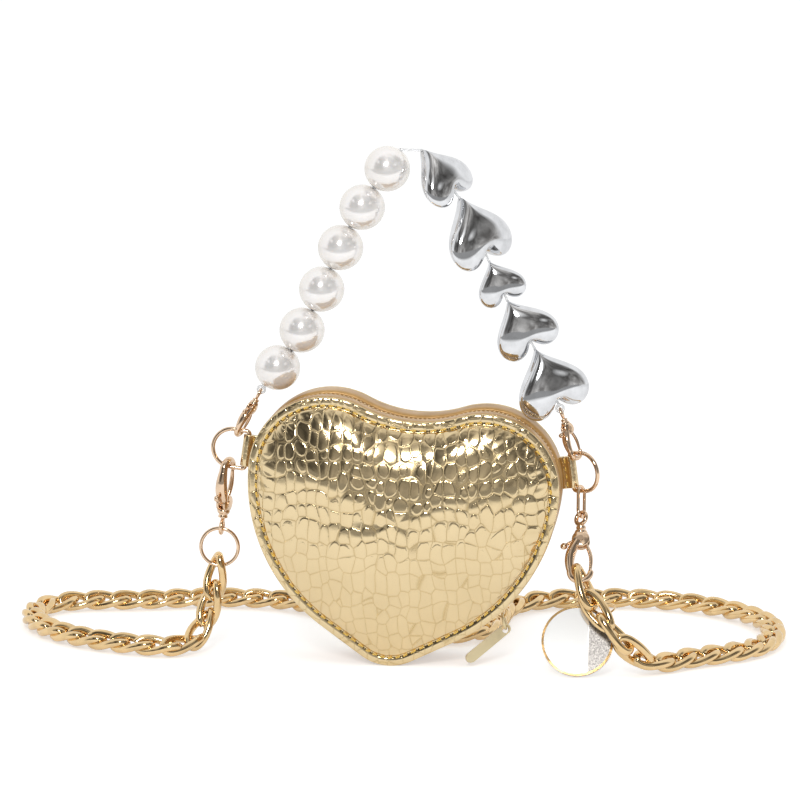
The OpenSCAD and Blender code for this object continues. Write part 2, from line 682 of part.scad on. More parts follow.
function pearl_at(i) =
    i == 0 ? left_eye + pearl_to_eye * left_way(first_pearl_heading)
    : pearl_at(i - 1) + pearl_pitch * left_way(pearl_headings[i - 1]);
// The tip of each heart, the last one nearest the right clasp
function heart_tip(i) =
    (i == last_heart ? right_eye : heart_tip(i + 1)) + bead_step(i) * right_way(heart_headings[i]);

// Where the cord bends: beside each bead
loop_seat = (eye_r - eye_wire) * handle_clasp - cord_d / 2 - seat_gap + 2 * loop_r;
left_start = left_eye + loop_seat * heading(left_clasp_heading);
right_start = right_eye + loop_seat * right_clasp_dir;
pearl_ends = [for (i = [0 : pearl_count - 2]) (pearl_at(i) + pearl_at(i + 1)) / 2];
last_pearl_end = pearl_at(pearl_count - 1) + pearl_pitch / 2 * left_way(last_pearl_heading);
cord_points = concat([left_start], pearl_ends, [last_pearl_end],
    [for (i = [0 : last_heart]) heart_tip(i)], [right_start]);
function pearl_start(i) = i == 0 ? left_start : pearl_ends[i - 1];
function pearl_stop(i) = i == pearl_count - 1 ? last_pearl_end : pearl_ends[i];
function pearl_axis(i) = unit(pearl_stop(i) - pearl_start(i));
function pearl_middle(i) =
    let (a = pearl_axis(i), s = pearl_start(i))
    s + ((pearl_at(i) - s) * a) * a;
function heart_axis(i) = unit(heart_tip(i) - (i == last_heart ? right_start : heart_tip(i + 1)));

module cord_loop(eye, direction) at_clasp(eye + (loop_seat - loop_r) * direction, direction, 0, 1)
    rotate([90, 0, 0]) rotate_extrude() translate([loop_r, 0]) circle(cord_d / 2);

module handle_cord() color(clear_cord) {
    r = cord_d / 2;
    last = len(cord_points) - 1;
    for (i = [0 : last - 1]) {
        a = cord_points[i];
        b = cord_points[i + 1];
        along = unit(b - a);
        rod(a + r * (i == 0 ? knot_end_share : cord_end_share) * along,
            b - r * (i == last - 1 ? knot_end_share : cord_end_share) * along, r);
    }
    for (i = [0 : last]) translate(cord_points[i])
        sphere(r * (i == 0 || i == last ? knot_share : cord_ball_share));
    cord_loop(left_eye, heading(left_clasp_heading));
    cord_loop(right_eye, right_clasp_dir);
}

module pearl(i) color(pearl_white) translate(pearl_middle(i)) aim(pearl_axis(i)) difference() {
    sphere(pearl_d / 2);
    translate([0, 0, -pearl_d]) cylinder(h = 2 * pearl_d, r = bead_bore / 2);
}

// A plump heart, tip at the origin and notch below it on the bore
function heart_point(t, share) =
    let (z = heart_z_shares[0] * cos(t) + heart_z_shares[1] * cos(2 * t)
        + heart_z_shares[2] * cos(3 * t) + heart_z_shares[3] * cos(4 * t))
    [heart_x_share * pow(sin(t), 3), z] * share;
module heart(i) color(chrome_silver) {
    w = heart_widths[i];
    wide = w / (2 * heart_x_share);
    tall = bead_len(i) / heart_span_share;
    plump = w * bead_plump_share / 2;
    side = [for (s = bead_shares) [s, plump * sqrt(1 - s * s)]];
    levels = concat([for (p = side) [p[0], -p[1]]], [[1, 0]], reversed(side));
    rings = [for (level = levels) [for (j = [0 : bead_points - 1])
        let (p = heart_point(180 + j * 360 / bead_points, level[0]))
        [-p[0] * wide, level[1], -(p[1] - heart_tip_share) * tall]]];
    centre_z = heart_tip_share * tall;
    translate(heart_tip(i)) aim(heart_axis(i)) rotate([0, 0, heart_turns[i]]) difference() {
        lofted(rings, [0, -plump, centre_z], [0, plump, centre_z]);
        translate([0, 0, -2 * w]) cylinder(h = 3 * w, r = bead_bore / 2);
    }
}
module pearl_1() pearl(0);
module pearl_2() pearl(1);
module pearl_3() pearl(2);
module pearl_4() pearl(3);
module pearl_5() pearl(4);
module pearl_6() pearl(5);
module heart_1() heart(0);
module heart_2() heart(1);
module heart_3() heart(2);
module heart_4() heart(3);
module heart_5() heart(4);

// Strap ends
left_eye_t = hook_seat(strap_clasp, d_wire) + eye_drop * strap_clasp;
ring_top_t = left_eye_t + (eye_r - eye_wire) * strap_clasp - ring_wire / 2 - seat_gap;
ring_middle = left_hang + (ring_top_t + (ring_d - ring_wire) / 2) * left_dir;
module jump_ring() color(gold) translate(ring_middle) aim(-left_dir) rotate([90, 0, 0])
    rotate_extrude() translate([(ring_d - ring_wire) / 2, 0]) circle(ring_wire / 2);
module oval_link() color(gold) translate(right_hang + (oval_top + oval_end) / 2 * right_dir)
    aim(right_dir) rotate([0, 0, oval_spin]) stadium_ring(oval_l, oval_w, oval_wire);

// Chain: links strung along a smooth curve through the route, each turned against the next
function smooth(a, b, c, d, t) = 0.5 * (2 * b + (c - a) * t + (2 * a - 5 * b + 4 * c - d) * t * t
    + (3 * b - 3 * c + d - a) * t * t * t);
last_point = len(route) - 1;
curve = concat([for (i = [0 : last_point - 1]) for (k = [0 : curve_steps - 1])
    smooth(route[max(i - 1, 0)], route[i], route[i + 1], route[min(i + 2, last_point)],
        k / curve_steps)], [route[last_point]]);
walked = [for (i = 0, s = 0; i < len(curve);
    i = i + 1, s = s + (i < len(curve) ? norm(curve[i] - curve[i - 1]) : 0)) s];
tables = [for (axis = [0 : 2]) [for (i = [0 : len(curve) - 1]) [walked[i], curve[i][axis]]]];
chain_len = walked[len(walked) - 1];
link_count = round(chain_len / link_pitch);
pivots = [for (i = [0 : link_count]) [for (axis = [0 : 2])
    lookup(i / link_count * chain_len, tables[axis])]];
link_dirs = [for (i = [0 : link_count - 1]) unit(pivots[i + 1] - pivots[i])];
// The upper side of each link, carried from the middle of the chain out to both ends
middle_link = floor(link_count / 2);
uppers_on = [for (i = middle_link, n = up; i < link_count;
    i = i + 1, n = i < link_count ? across(n, link_dirs[i]) : n) n];
uppers_back = [for (i = middle_link, n = up; i >= 0;
    i = i - 1, n = i >= 0 ? across(n, link_dirs[i]) : n) n];
function upper(i) = i >= middle_link ? uppers_on[i - middle_link] : uppers_back[middle_link - i];
function link_middle(i) = (pivots[i] + pivots[i + 1]) / 2;
function link_side(i) =
    let (twist = end_twist * max(0, i - middle_link) / middle_link,
        roll = (i % 2 == 0 ? link_roll : -link_roll) + twist)
    cos(roll) * cross(upper(i), link_dirs[i]) + sin(roll) * upper(i);

module chain_link(i) {
    x = link_side(i);
    z = link_dirs[i];
    y = cross(z, x);
    c = link_middle(i);
    multmatrix([[x[0], y[0], z[0], c[0]], [x[1], y[1], z[1], c[1]], [x[2], y[2], z[2], c[2]]])
        stadium_ring(link_inner + 2 * link_wire, link_w, link_wire);
}
module chain(k) color(gold) {
    first = round(run_shares[k] * link_count);
    past = round(run_shares[k + 1] * link_count);
    for (i = [first : past - 1]) chain_link(i);
}
module chain_left_drop() chain(0);
module chain_left_run() chain(1);
module chain_back_run() chain(2);
module chain_right_run() chain(3);
module chain_right_drop() chain(4);

// Mirror disc: leans under the chain's right end, a small ring joins it to one side of a link
disc_wire = link_count - disc_link;
disc_hang = link_middle(disc_wire) + disc_side * (link_w - link_wire) / 2 * link_side(disc_wire);
disc_hole_reach = disc_d / 2 - disc_rim_w - disc_hole_r - seat_gap;
disc_front = [0, -cos(disc_lean), sin(disc_lean)];
disc_hole = disc_middle + disc_hole_reach * [cos(disc_hole_angle),
    sin(disc_hole_angle) * sin(disc_lean), sin(disc_hole_angle) * cos(disc_lean)];
disc_ring_r = (norm(disc_hang - disc_hole) + (disc_ring_wire + link_wire) / 2 + seat_gap) / 2
    + disc_ring_slack;
ring_x = unit(disc_hang - disc_hole);
ring_level = across(disc_front, ring_x);
ring_y = cos(disc_ring_turn) * ring_level + sin(disc_ring_turn) * cross(ring_x, ring_level);
ring_z = cross(ring_x, ring_y);
ring_o = disc_hole + disc_ring_r * ring_x;
module at_disc() translate(disc_middle) rotate([-disc_lean, 0, 0]) children();

module mirror_disc() color(chrome_silver) at_disc() difference() {
    rod_disc(disc_d / 2 - disc_rim_w, disc_t);
    rotate([0, -disc_hole_angle, 0]) translate([disc_hole_reach, 0, 0])
        rod_disc(disc_hole_r, disc_t + 2 * overrun);
}
module disc_rim() color(gold) at_disc() difference() {
    rod_disc(disc_d / 2, rim_t);
    rod_disc(disc_d / 2 - disc_rim_w, rim_t + 2 * overrun);
}
module disc_ring() color(gold) multmatrix([[ring_x[0], ring_y[0], ring_z[0], ring_o[0]],
    [ring_x[1], ring_y[1], ring_z[1], ring_o[1]], [ring_x[2], ring_y[2], ring_z[2], ring_o[2]]])
    rotate_extrude() translate([disc_ring_r, 0]) circle(disc_ring_wire / 2);

back_panel();
rear_strip();
rear_lining();
rear_zip_tape();
rear_zip_teeth();
zip_stop();
bottom_gusset();
left_tab();
right_tab();
front_panel();
front_strip();
front_lining();
front_zip_tape();
front_zip_teeth();
zip_slider();
pull_link();
pull_bar();
left_d_ring();
right_d_ring();
handle_cord();
pearl_1();
pearl_2();
pearl_3();
pearl_4();
pearl_5();
pearl_6();
heart_1();
heart_2();
heart_3();
heart_4();
heart_5();
handle_left_clasp();
handle_left_lever();
handle_left_rivet();
handle_left_eye();
handle_right_clasp();
handle_right_lever();
handle_right_rivet();
handle_right_eye();
strap_left_clasp();
strap_left_lever();
strap_left_rivet();
strap_left_eye();
strap_right_clasp();
strap_right_lever();
strap_right_rivet();
strap_right_eye();
jump_ring();
oval_link();
chain_left_drop();
chain_left_run();
chain_back_run();
chain_right_run();
chain_right_drop();
mirror_disc();
disc_rim();
disc_ring();
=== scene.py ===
"""Looks for the heart shaped mini purse: foil leather, stitches, zip, beads, clasps and chain.
Lengths are in millimetres until a piece is made, which turns them into metres."""
import json
import math

import bmesh
import bpy
import numpy as np
from mathutils import Matrix, Vector


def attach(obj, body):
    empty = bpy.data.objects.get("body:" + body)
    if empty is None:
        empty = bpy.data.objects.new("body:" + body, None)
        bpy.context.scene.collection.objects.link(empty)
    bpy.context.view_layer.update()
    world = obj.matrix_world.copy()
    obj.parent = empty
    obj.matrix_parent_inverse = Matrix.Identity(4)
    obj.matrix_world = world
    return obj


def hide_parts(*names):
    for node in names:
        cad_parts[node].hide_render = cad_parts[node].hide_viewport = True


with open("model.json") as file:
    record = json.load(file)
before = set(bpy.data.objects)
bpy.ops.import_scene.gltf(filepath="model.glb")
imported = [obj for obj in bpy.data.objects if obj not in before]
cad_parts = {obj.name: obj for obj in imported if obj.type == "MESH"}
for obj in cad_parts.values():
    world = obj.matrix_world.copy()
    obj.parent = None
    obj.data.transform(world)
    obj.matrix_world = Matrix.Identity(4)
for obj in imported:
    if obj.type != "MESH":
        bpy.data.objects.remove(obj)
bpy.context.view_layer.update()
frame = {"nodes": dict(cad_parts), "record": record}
nodes = frame["nodes"]
joints = {j["name"]: j for j in frame["record"]["behaviour"]["joints"]}
METRES = 0.001

# The same driving sizes as the part's
LOBE_R, LOBE_X, FLANK_R, TIP_R, NOTCH_DROP = 27.0, 27.5, 63.0, 17.3, 5.5
LOWER, LEAN = math.radians(31), math.radians(5.4)
FRONT_W, ZIP_W, REAR_W, LEATHER, BULGE, RIM = 6.0, 8.0, 9.6, 1.4, 8.5, 3.6
Y_FRONT = -(FRONT_W + ZIP_W + REAR_W) / 2
Y_ZIP_FRONT = Y_FRONT + FRONT_W
Y_ZIP_REAR = Y_ZIP_FRONT + ZIP_W
Y_REAR, Y_ZIP, Y_RINGS = -Y_FRONT, (Y_ZIP_FRONT + Y_ZIP_REAR) / 2, (Y_ZIP_REAR - Y_FRONT) / 2
ZIP_END, TAPE, SEAT, GAP = 40.0, 0.6, 0.15, 0.3
FLANK_X = LOBE_X + LOBE_R - FLANK_R
LINE_END = FLANK_X + FLANK_R * math.sin(LOWER)
LOBE_Z = FLANK_R * math.cos(LOWER) + LINE_END * math.tan(LOWER) - TIP_R * (1 / math.cos(LOWER) - 1)
NOTCH_H = LOBE_R - NOTCH_DROP
NOTCH_R = (LOBE_X**2 + NOTCH_H**2 - LOBE_R**2) / (2 * NOTCH_DROP)
NOTCH_Z = LOBE_Z + NOTCH_H + NOTCH_R
NOTCH_TURN = math.atan2(LOBE_X, NOTCH_H + NOTCH_R)
LINE_START = TIP_R * math.sin(LOWER)
MIDDLE_Z = 0.8 * LOBE_Z
STAND = np.array([-4.8, 0.0, TIP_R * (1 - math.cos(LEAN))])

# Arc lengths along the heart's edge from its tip, at which one stretch gives way to the next
TO_LINE = TIP_R * LOWER
TO_FLANK = TO_LINE + (LINE_END - LINE_START) / math.cos(LOWER)
TO_LOBE = TO_FLANK + FLANK_R * (math.pi / 2 - LOWER)
TO_NOTCH = TO_LOBE + LOBE_R * (math.pi / 2 + NOTCH_TURN)
HALF = TO_NOTCH + NOTCH_R * NOTCH_TURN


def unit(v):
    v = np.asarray(v, float)
    return v / np.linalg.norm(v, axis=-1, keepdims=True)


def heart_edge(s, d=0.0):
    """Points of the heart's edge: tip arc, straight line, flank arc, lobe arc and notch arc, each at
    arc length s from the tip and set in by d; the left half mirrors the right one."""
    s = np.mod(np.asarray(s, float), 2 * HALF)
    left = s > HALF
    t = np.where(left, 2 * HALF - s, s)
    a = t / TIP_R
    tip = (TIP_R - d) * np.sin(a), TIP_R - (TIP_R - d) * np.cos(a)
    k = t - TO_LINE
    line = (LINE_START + k * math.cos(LOWER) - d * math.sin(LOWER),
            TIP_R * (1 - math.cos(LOWER)) + k * math.sin(LOWER) + d * math.cos(LOWER))
    a = LOWER + (t - TO_FLANK) / FLANK_R
    flank = FLANK_X + (FLANK_R - d) * np.sin(a), LOBE_Z - (FLANK_R - d) * np.cos(a)
    a = (t - TO_LOBE) / LOBE_R
    lobe = LOBE_X + (LOBE_R - d) * np.cos(a), LOBE_Z + (LOBE_R - d) * np.sin(a)
    a = (HALF - t) / NOTCH_R
    notch = (NOTCH_R + d) * np.sin(a), NOTCH_Z - (NOTCH_R + d) * np.cos(a)
    parts = [t < TO_LINE, t < TO_FLANK, t < TO_LOBE, t < TO_NOTCH]
    x = np.select(parts, [tip[0], line[0], flank[0], lobe[0]], notch[0])
    z = np.select(parts, [tip[1], line[1], flank[1], lobe[1]], notch[1])
    return np.where(left, -x, x), z


def leaned(p):
    """From the purse's own upright frame to the part's: turned by the lean about Y, then stood."""
    p = np.asarray(p, float)
    x, y, z = p[..., 0], p[..., 1], p[..., 2]
    c, s = math.cos(LEAN), math.sin(LEAN)
    return STAND + np.stack([x * c + z * s, y, z * c - x * s], -1)


# ---------- making meshes ----------
def sheet_faces(rows, columns, closed_rows=False):
    """Quads over a grid of rows by columns: each row is a ring, and the last row may join the first."""
    i = np.arange(rows if closed_rows else rows - 1)[:, None]
    j = np.arange(columns)[None, :]
    i2, j2 = (i + 1) % rows, (j + 1) % columns
    here, there = i * columns, i2 * columns
    return np.stack([here + j, here + j2, there + j2, there + j], -1).reshape(-1, 4)


class Shape:
    """Points and faces gathered from whole arrays, to become one piece."""

    def __init__(self):
        self.points, self.faces, self.count = [], [], 0

    def add(self, points, faces):
        points = np.asarray(points, float).reshape(-1, 3)
        self.points.append(points)
        self.faces += [tuple(i + self.count for i in f) for f in faces]
        self.count += len(points)
        return self

    def loft(self, rings, closed_rows=False, start=None, end=None):
        """rings is rows x columns x 3; start and end are the poles that close the first and last row."""
        rings = np.asarray(rings, float)
        rows, columns = rings.shape[:2]
        base = self.count
        self.add(rings, sheet_faces(rows, columns, closed_rows))
        for pole, row, flip in ((start, 0, True), (end, rows - 1, False)):
            if pole is None:
                continue
            j = np.arange(columns)
            ring = base + row * columns
            fan = np.stack([ring + j, ring + (j + 1) % columns, np.full(columns, self.count)], -1)
            self.points.append(np.asarray(pole, float).reshape(1, 3))
            self.faces += [tuple(f) for f in (fan[:, ::-1] if flip else fan).tolist()]
            self.count += 1
        return self

    def piece(self, name, body, material, stands_for=(), slot=None):
        """The finished piece, riding on a body and standing for the CAD nodes it replaces."""
        mesh = bpy.data.meshes.new(name)
        points = np.concatenate(self.points) * METRES
        mesh.from_pydata(points.tolist(), [], self.faces)
        mesh.validate()
        mesh.update()
        b = bmesh.new()
        b.from_mesh(mesh)
        bmesh.ops.recalc_face_normals(b, faces=b.faces)
        b.to_mesh(mesh)
        b.free()
        mesh.polygons.foreach_set("use_smooth", [True] * len(mesh.polygons))
        mesh.materials.append(material)
        obj = bpy.data.objects.new(name, mesh)
        bpy.context.scene.collection.objects.link(obj)
        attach(obj, body)
        if stands_for:
            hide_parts(*stands_for)
        return obj


def frames_along(path, closed=False, start=None):
    """Tangents and two cross directions along a path, carried on without twist."""
    path = np.asarray(path, float)
    if closed:
        tangent = unit(np.roll(path, -1, 0) - np.roll(path, 1, 0))
    else:
        tangent = unit(np.gradient(path, axis=0))
    s = np.array([0, 1.0, 0]) if start is None else np.asarray(start, float)
    if abs(s @ tangent[0]) > 0.95:
        s = np.array([1.0, 0, 0])
    side = np.zeros_like(path)
    for i, t in enumerate(tangent):
        s = s - (s @ t) * t
        s = s / np.linalg.norm(s)
        side[i] = s
    return tangent, side, np.cross(tangent, side)


def tube(shape, path, radius, sides=14, closed=False, start=None, flat=1.0):
    """A ring of points of the given radius round each point of the path; flat squeezes the second
    cross direction, and radius may change along the path. Open ends are drawn in to a pole."""
    path = np.asarray(path, float)
    r = np.broadcast_to(np.asarray(radius, float), (len(path),))
    f = np.broadcast_to(np.asarray(flat, float), (len(path),))
    t, u, v = frames_along(path, closed, start)
    if not closed:
        caps = []
        for k, sign, angles in ((0, -1, (80, 60, 30)), (len(path) - 1, 1, (30, 60, 80))):
            caps.append([(path[k] + sign * t[k] * r[k] * math.sin(q) * 0.8, r[k] * math.cos(q))
                         for q in np.radians(angles)])
        first, last = caps
        path = np.array([p for p, _ in first] + list(path) + [p for p, _ in last])
        r = np.concatenate([[q for _, q in first], r, [q for _, q in last]])
        t, u, v, f = (np.concatenate([x[:1]] * 3 + [x] + [x[-1:]] * 3) for x in (t, u, v, f))
    a = np.linspace(0, 2 * np.pi, sides, endpoint=False)
    rings = (path[:, None] + r[:, None, None] * (np.cos(a)[None, :, None] * u[:, None]
             + f[:, None, None] * np.sin(a)[None, :, None] * v[:, None]))
    if closed:
        return shape.loft(rings, True)
    return shape.loft(rings, False, path[0], path[-1])


def arc(centre, x, y, r, a0, a1, n):
    """n points of a circle in the plane of x and y, from angle a0 to a1 in degrees."""
    a = np.radians(np.linspace(a0, a1, n))[:, None]
    centre, x, y = (np.asarray(v, float) for v in (centre, x, y))
    return centre + r * (np.cos(a) * x + np.sin(a) * y)


def turned_profile(shape, profile, centre, axis, n=48, closed=False):
    """A profile of (radius, height) pairs turned about an axis; poles where the radius is zero."""
    profile = np.asarray(profile, float)
    z = unit(axis)
    x = unit(np.cross(z, [0, 1.0, 0.1]))
    y = np.cross(z, x)
    a = np.linspace(0, 2 * np.pi, n, endpoint=False)
    around = np.cos(a)[:, None] * x + np.sin(a)[:, None] * y
    inner = profile if closed else profile[1:-1]
    rings = np.asarray(centre) + inner[:, 0][:, None, None] * around + inner[:, 1][:, None, None] * z
    if closed:
        return shape.loft(rings, True)
    return shape.loft(rings, False, centre + profile[0, 1] * z, centre + profile[-1, 1] * z)


def bead(long, wide, high, power=2.0, rings=5, sides=6, slant=0.0):
    """A small rounded lump about the origin: superellipse along its length, round across it."""
    a = np.linspace(-1, 1, rings + 2)[1:-1] * math.pi / 2
    b = np.linspace(0, 2 * np.pi, sides, endpoint=False)
    size = np.cos(a) ** (2 / power)
    u = np.repeat((long * np.sign(np.sin(a)) * np.abs(np.sin(a)) ** (2 / power))[:, None], sides, 1)
    v = wide * size[:, None] * np.cos(b)[None]
    w = high * size[:, None] * np.sin(b)[None]
    points = np.concatenate([np.stack([u, v + slant * u, w], -1).reshape(-1, 3),
                             [[-long, -slant * long, 0], [long, slant * long, 0]]])
    faces = sheet_faces(rings, sides).tolist()
    k = rings * sides
    faces += [[(j + 1) % sides, j, k] for j in range(sides)]
    faces += [[k - sides + j, k - sides + (j + 1) % sides, k + 1] for j in range(sides)]
    return points, faces


def strewn(template, places, where):
    """The template set at each place: where turns the place and its local points into points."""
    points, faces = template
    shape = Shape()
    for place in places:
        shape.add(where(place, points), faces)
    return shape


# ---------- materials ----------
def new_material(name, **sockets):
    m = bpy.data.materials.new(name)
    m.use_nodes = True
    shader = m.node_tree.nodes["Principled BSDF"]
    for key, value in sockets.items():
        shader.inputs[key.replace("_", " ")].default_value = value
    return m, m.node_tree, shader


def add(tree, kind, **values):
    """A node; each value is set as its property, or else as its input socket's default."""
    node = tree.nodes.new(kind)
    for key, value in values.items():
        if hasattr(node, key):
            setattr(node, key, value)
        else:
            node.inputs[key.replace("_", " ")].default_value = value
    return node


def ramp(tree, factor, stops):
    """A colour ramp through stops of (place, grey or colour)."""
    node = tree.nodes.new("ShaderNodeValToRGB")
    while len(node.color_ramp.elements) < len(stops):
        node.color_ramp.elements.new(0.5)
    for element, (place, colour) in zip(node.color_ramp.elements, stops):
        element.position = place
        element.color = (*colour, 1) if hasattr(colour, "__len__") else (colour, colour, colour, 1)
    tree.links.new(factor, node.inputs["Fac"])
    return node.outputs["Color"]


def set_or_link(tree, socket, value):
    if hasattr(value, "is_linked"):
        tree.links.new(value, socket)
    else:
        socket.default_value = value


def mixed(tree, blend, a, b, share=1.0):
    """Two colours blended, b over a by the given share; each may be a colour or a socket."""
    node = add(tree, "ShaderNodeMixRGB", blend_type=blend)
    for key, value in (("Fac", share), ("Color1", a), ("Color2", b)):
        set_or_link(tree, node.inputs[key], (*value, 1) if isinstance(value, tuple) else value)
    return node.outputs["Color"]


def sums(tree, operation, a, b):
    """A math node on two values or sockets."""
    node = add(tree, "ShaderNodeMath", operation=operation)
    for socket, value in zip(node.inputs, (a, b)):
        set_or_link(tree, socket, value)
    return node.outputs[0]


def vectors(tree, operation, *inputs):
    """A vector math node."""
    node = add(tree, "ShaderNodeVectorMath", operation=operation)
    for socket, value in zip(node.inputs, inputs):
        set_or_link(tree, socket, value)
    return node


def sized(tree, scale):
    """Object coordinates, in metres, multiplied by a scale, or by one for each direction."""
    place = tree.nodes.new("ShaderNodeTexCoord")
    mapping = tree.nodes.new("ShaderNodeMapping")
    mapping.inputs["Scale"].default_value = scale if hasattr(scale, "__len__") else (scale,) * 3
    tree.links.new(place.outputs["Object"], mapping.inputs["Vector"])
    return mapping.outputs["Vector"]


def along_axis(tree, axis, scale=1):
    """One object coordinate, in metres, multiplied by a scale."""
    split = tree.nodes.new("ShaderNodeSeparateXYZ")
    tree.links.new(sized(tree, scale), split.inputs[0])
    return split.outputs[axis]


def noise(tree, scale, detail=3.0):
    """Noise over the object's own coordinates: scale cells to the metre."""
    node = add(tree, "ShaderNodeTexNoise", Scale=1.0, Detail=detail, Roughness=0.55)
    tree.links.new(sized(tree, scale), node.inputs["Vector"])
    return node.outputs["Fac"]


def bump(tree, shader, height, strength, distance, below=None):
    """A bump of the given distance in metres, on top of the one below, into the shader if given."""
    node = add(tree, "ShaderNodeBump", Strength=strength, Distance=distance)
    tree.links.new(height, node.inputs["Height"])
    if below is not None:
        tree.links.new(below, node.inputs["Normal"])
    if shader is not None:
        tree.links.new(node.outputs["Normal"], shader.inputs["Normal"])
    return node.outputs["Normal"]


CHAMPAGNE = (0.80, 0.64, 0.385)
TAN_DARK, TAN_METAL, TAN_ROUGH = (0.42, 0.24, 0.08), 0.45, 0.42


def foil_leather():
    """Mirror gold foil pressed with scales: the cells of a Voronoi pattern, taller than wide, parted
    by narrow grooves. Each cell is domed by the square of the distance from its middle and tipped
    its own way. The relief is strong near the top and faint below."""
    m, t, s = new_material("foil_leather", Metallic=1.0)
    place = sized(t, (250, 0, 178))
    warp = add(t, "ShaderNodeTexNoise", Scale=0.35, Detail=1.0)
    t.links.new(place, warp.inputs["Vector"])
    moved = vectors(t, "MULTIPLY_ADD", warp.outputs["Color"], (1.3, 0.0, 1.3), place).outputs[0]
    border = add(t, "ShaderNodeTexVoronoi", feature="DISTANCE_TO_EDGE", Scale=1.0, Randomness=0.5)
    cell = add(t, "ShaderNodeTexVoronoi", feature="F1", Scale=1.0, Randomness=0.5)
    for v in (border, cell):
        t.links.new(moved, v.inputs["Vector"])
    edge, away = border.outputs["Distance"], cell.outputs["Distance"]

    wander = sums(t, "MULTIPLY", noise(t, 40), 0.3)
    strong = ramp(t, sums(t, "ADD", along_axis(t, "Z", 10), wander), [(0.5, 0.13), (0.72, 1.0)])
    corner = sums(t, "ADD", sums(t, "MULTIPLY", away, -0.8), 0.5)
    fray = sums(t, "MULTIPLY", noise(t, 1300), -0.05)
    ragged = sums(t, "ADD", sums(t, "MINIMUM", edge, corner), fray)
    sunk = ramp(t, ragged, [(0.0, 0.0), (0.03, 0.55), (0.07, 1.0)])
    dome = sums(t, "MULTIPLY", sums(t, "POWER", away, 2.0), -2.2)
    lean = vectors(t, "SUBTRACT", cell.outputs["Color"], (0.5, 0.5, 0.5)).outputs[0]
    off = vectors(t, "SUBTRACT", moved, cell.outputs["Position"]).outputs[0]
    tip = sums(t, "MULTIPLY", vectors(t, "DOT_PRODUCT", lean, off).outputs["Value"], 1.3)
    height = sums(t, "MULTIPLY", sums(t, "ADD", sunk, sums(t, "ADD", dome, tip)), strong)

    soft = bump(t, None, noise(t, 55, 2.0), 0.3, 0.001)
    fine = bump(t, None, noise(t, 1500), 0.1, 0.00006, soft)
    bump(t, s, height, 1.0, 0.00012, fine)
    # painted shade: the gold turns deeper in the narrow grooves between the scales and a little lighter
    # towards each cell's middle
    colour = ramp(t, edge, [(0.0, (0.66, 0.50, 0.26)), (0.05, CHAMPAGNE), (0.2, (0.82, 0.66, 0.40))])
    tint = ramp(t, noise(t, 45), [(0.35, (0.95, 0.94, 0.92)), (0.65, (1.0, 1.0, 1.0))])
    t.links.new(mixed(t, "MULTIPLY", colour, tint), s.inputs["Base Color"])
    t.links.new(ramp(t, edge, [(0.0, 0.3), (0.07, 0.13), (0.3, 0.1)]), s.inputs["Roughness"])
    return m


def soft_leather(name, low, high, metallic, rough):
    """Foiled edge leather: fine pebbled grain, worn lighter and darker in broad patches."""
    m, t, s = new_material(name, Metallic=metallic)
    patch = noise(t, 70, 4.0)
    t.links.new(ramp(t, patch, [(0.35, low), (0.65, high)]), s.inputs["Base Color"])
    pebble = add(t, "ShaderNodeTexVoronoi", feature="SMOOTH_F1", Scale=900.0)
    t.links.new(sized(t, 1), pebble.inputs["Vector"])
    bump(t, s, pebble.outputs["Distance"], 0.35, 0.00012)
    t.links.new(ramp(t, patch, [(0.3, rough + 0.08), (0.7, rough - 0.05)]), s.inputs["Roughness"])
    return m


def tab_leather():
    """Tan leather whose outer fold, away from the purse, keeps its bright gold foil."""
    m = soft_leather("tab_leather", TAN_DARK, (0.60, 0.38, 0.15), TAN_METAL, TAN_ROUGH)
    t = m.node_tree
    s = t.nodes["Principled BSDF"]
    outward = sums(t, "ABSOLUTE", sums(t, "ADD", along_axis(t, "X"), -0.0014), 0.0)
    foiled = ramp(t, sums(t, "MULTIPLY", outward, 10.0), [(0.524, 0.0), (0.53, 1.0)])
    tan = s.inputs["Base Color"].links[0].from_socket
    t.links.new(mixed(t, "MIX", tan, CHAMPAGNE, foiled), s.inputs["Base Color"])
    t.links.new(ramp(t, foiled, [(0.0, TAN_METAL), (1.0, 1.0)]), s.inputs["Metallic"])
    t.links.new(ramp(t, foiled, [(0.0, TAN_ROUGH), (1.0, 0.16)]), s.inputs["Roughness"])
    return m


def plated(name, colour, rough, metallic=1.0):
    """Polished plating: a slight unevenness, faint tarnish and hairline scratches."""
    m, t, s = new_material(name, Metallic=metallic)
    patch = noise(t, 220, 4.0)
    dark = tuple(0.82 * c for c in colour)
    t.links.new(ramp(t, patch, [(0.3, dark), (0.6, colour)]), s.inputs["Base Color"])
    t.links.new(ramp(t, patch, [(0.3, rough + 0.07), (0.7, rough)]), s.inputs["Roughness"])
    bump(t, s, noise(t, (2600, 900, 900)), 0.05, 0.00006)
    return m


def cloth(name, low, high, threads=2200.0):
    """Woven cloth: two crossed sets of threads, raised and sunk in turn."""
    m, t, s = new_material(name, Roughness=0.85, Sheen_Weight=0.25)
    a = add(t, "ShaderNodeTexWave", bands_direction="X", Scale=threads / 6.28, Distortion=0.3)
    b = add(t, "ShaderNodeTexWave", bands_direction="DIAGONAL", Scale=threads / 9.0, Distortion=0.3)
    place = sized(t, 1)
    for w in (a, b):
        t.links.new(place, w.inputs["Vector"])
    weave = sums(t, "MULTIPLY", a.outputs["Fac"], b.outputs["Fac"])
    t.links.new(ramp(t, weave, [(0.1, low), (0.7, high)]), s.inputs["Base Color"])
    bump(t, s, weave, 0.5, 0.0002)
    return m


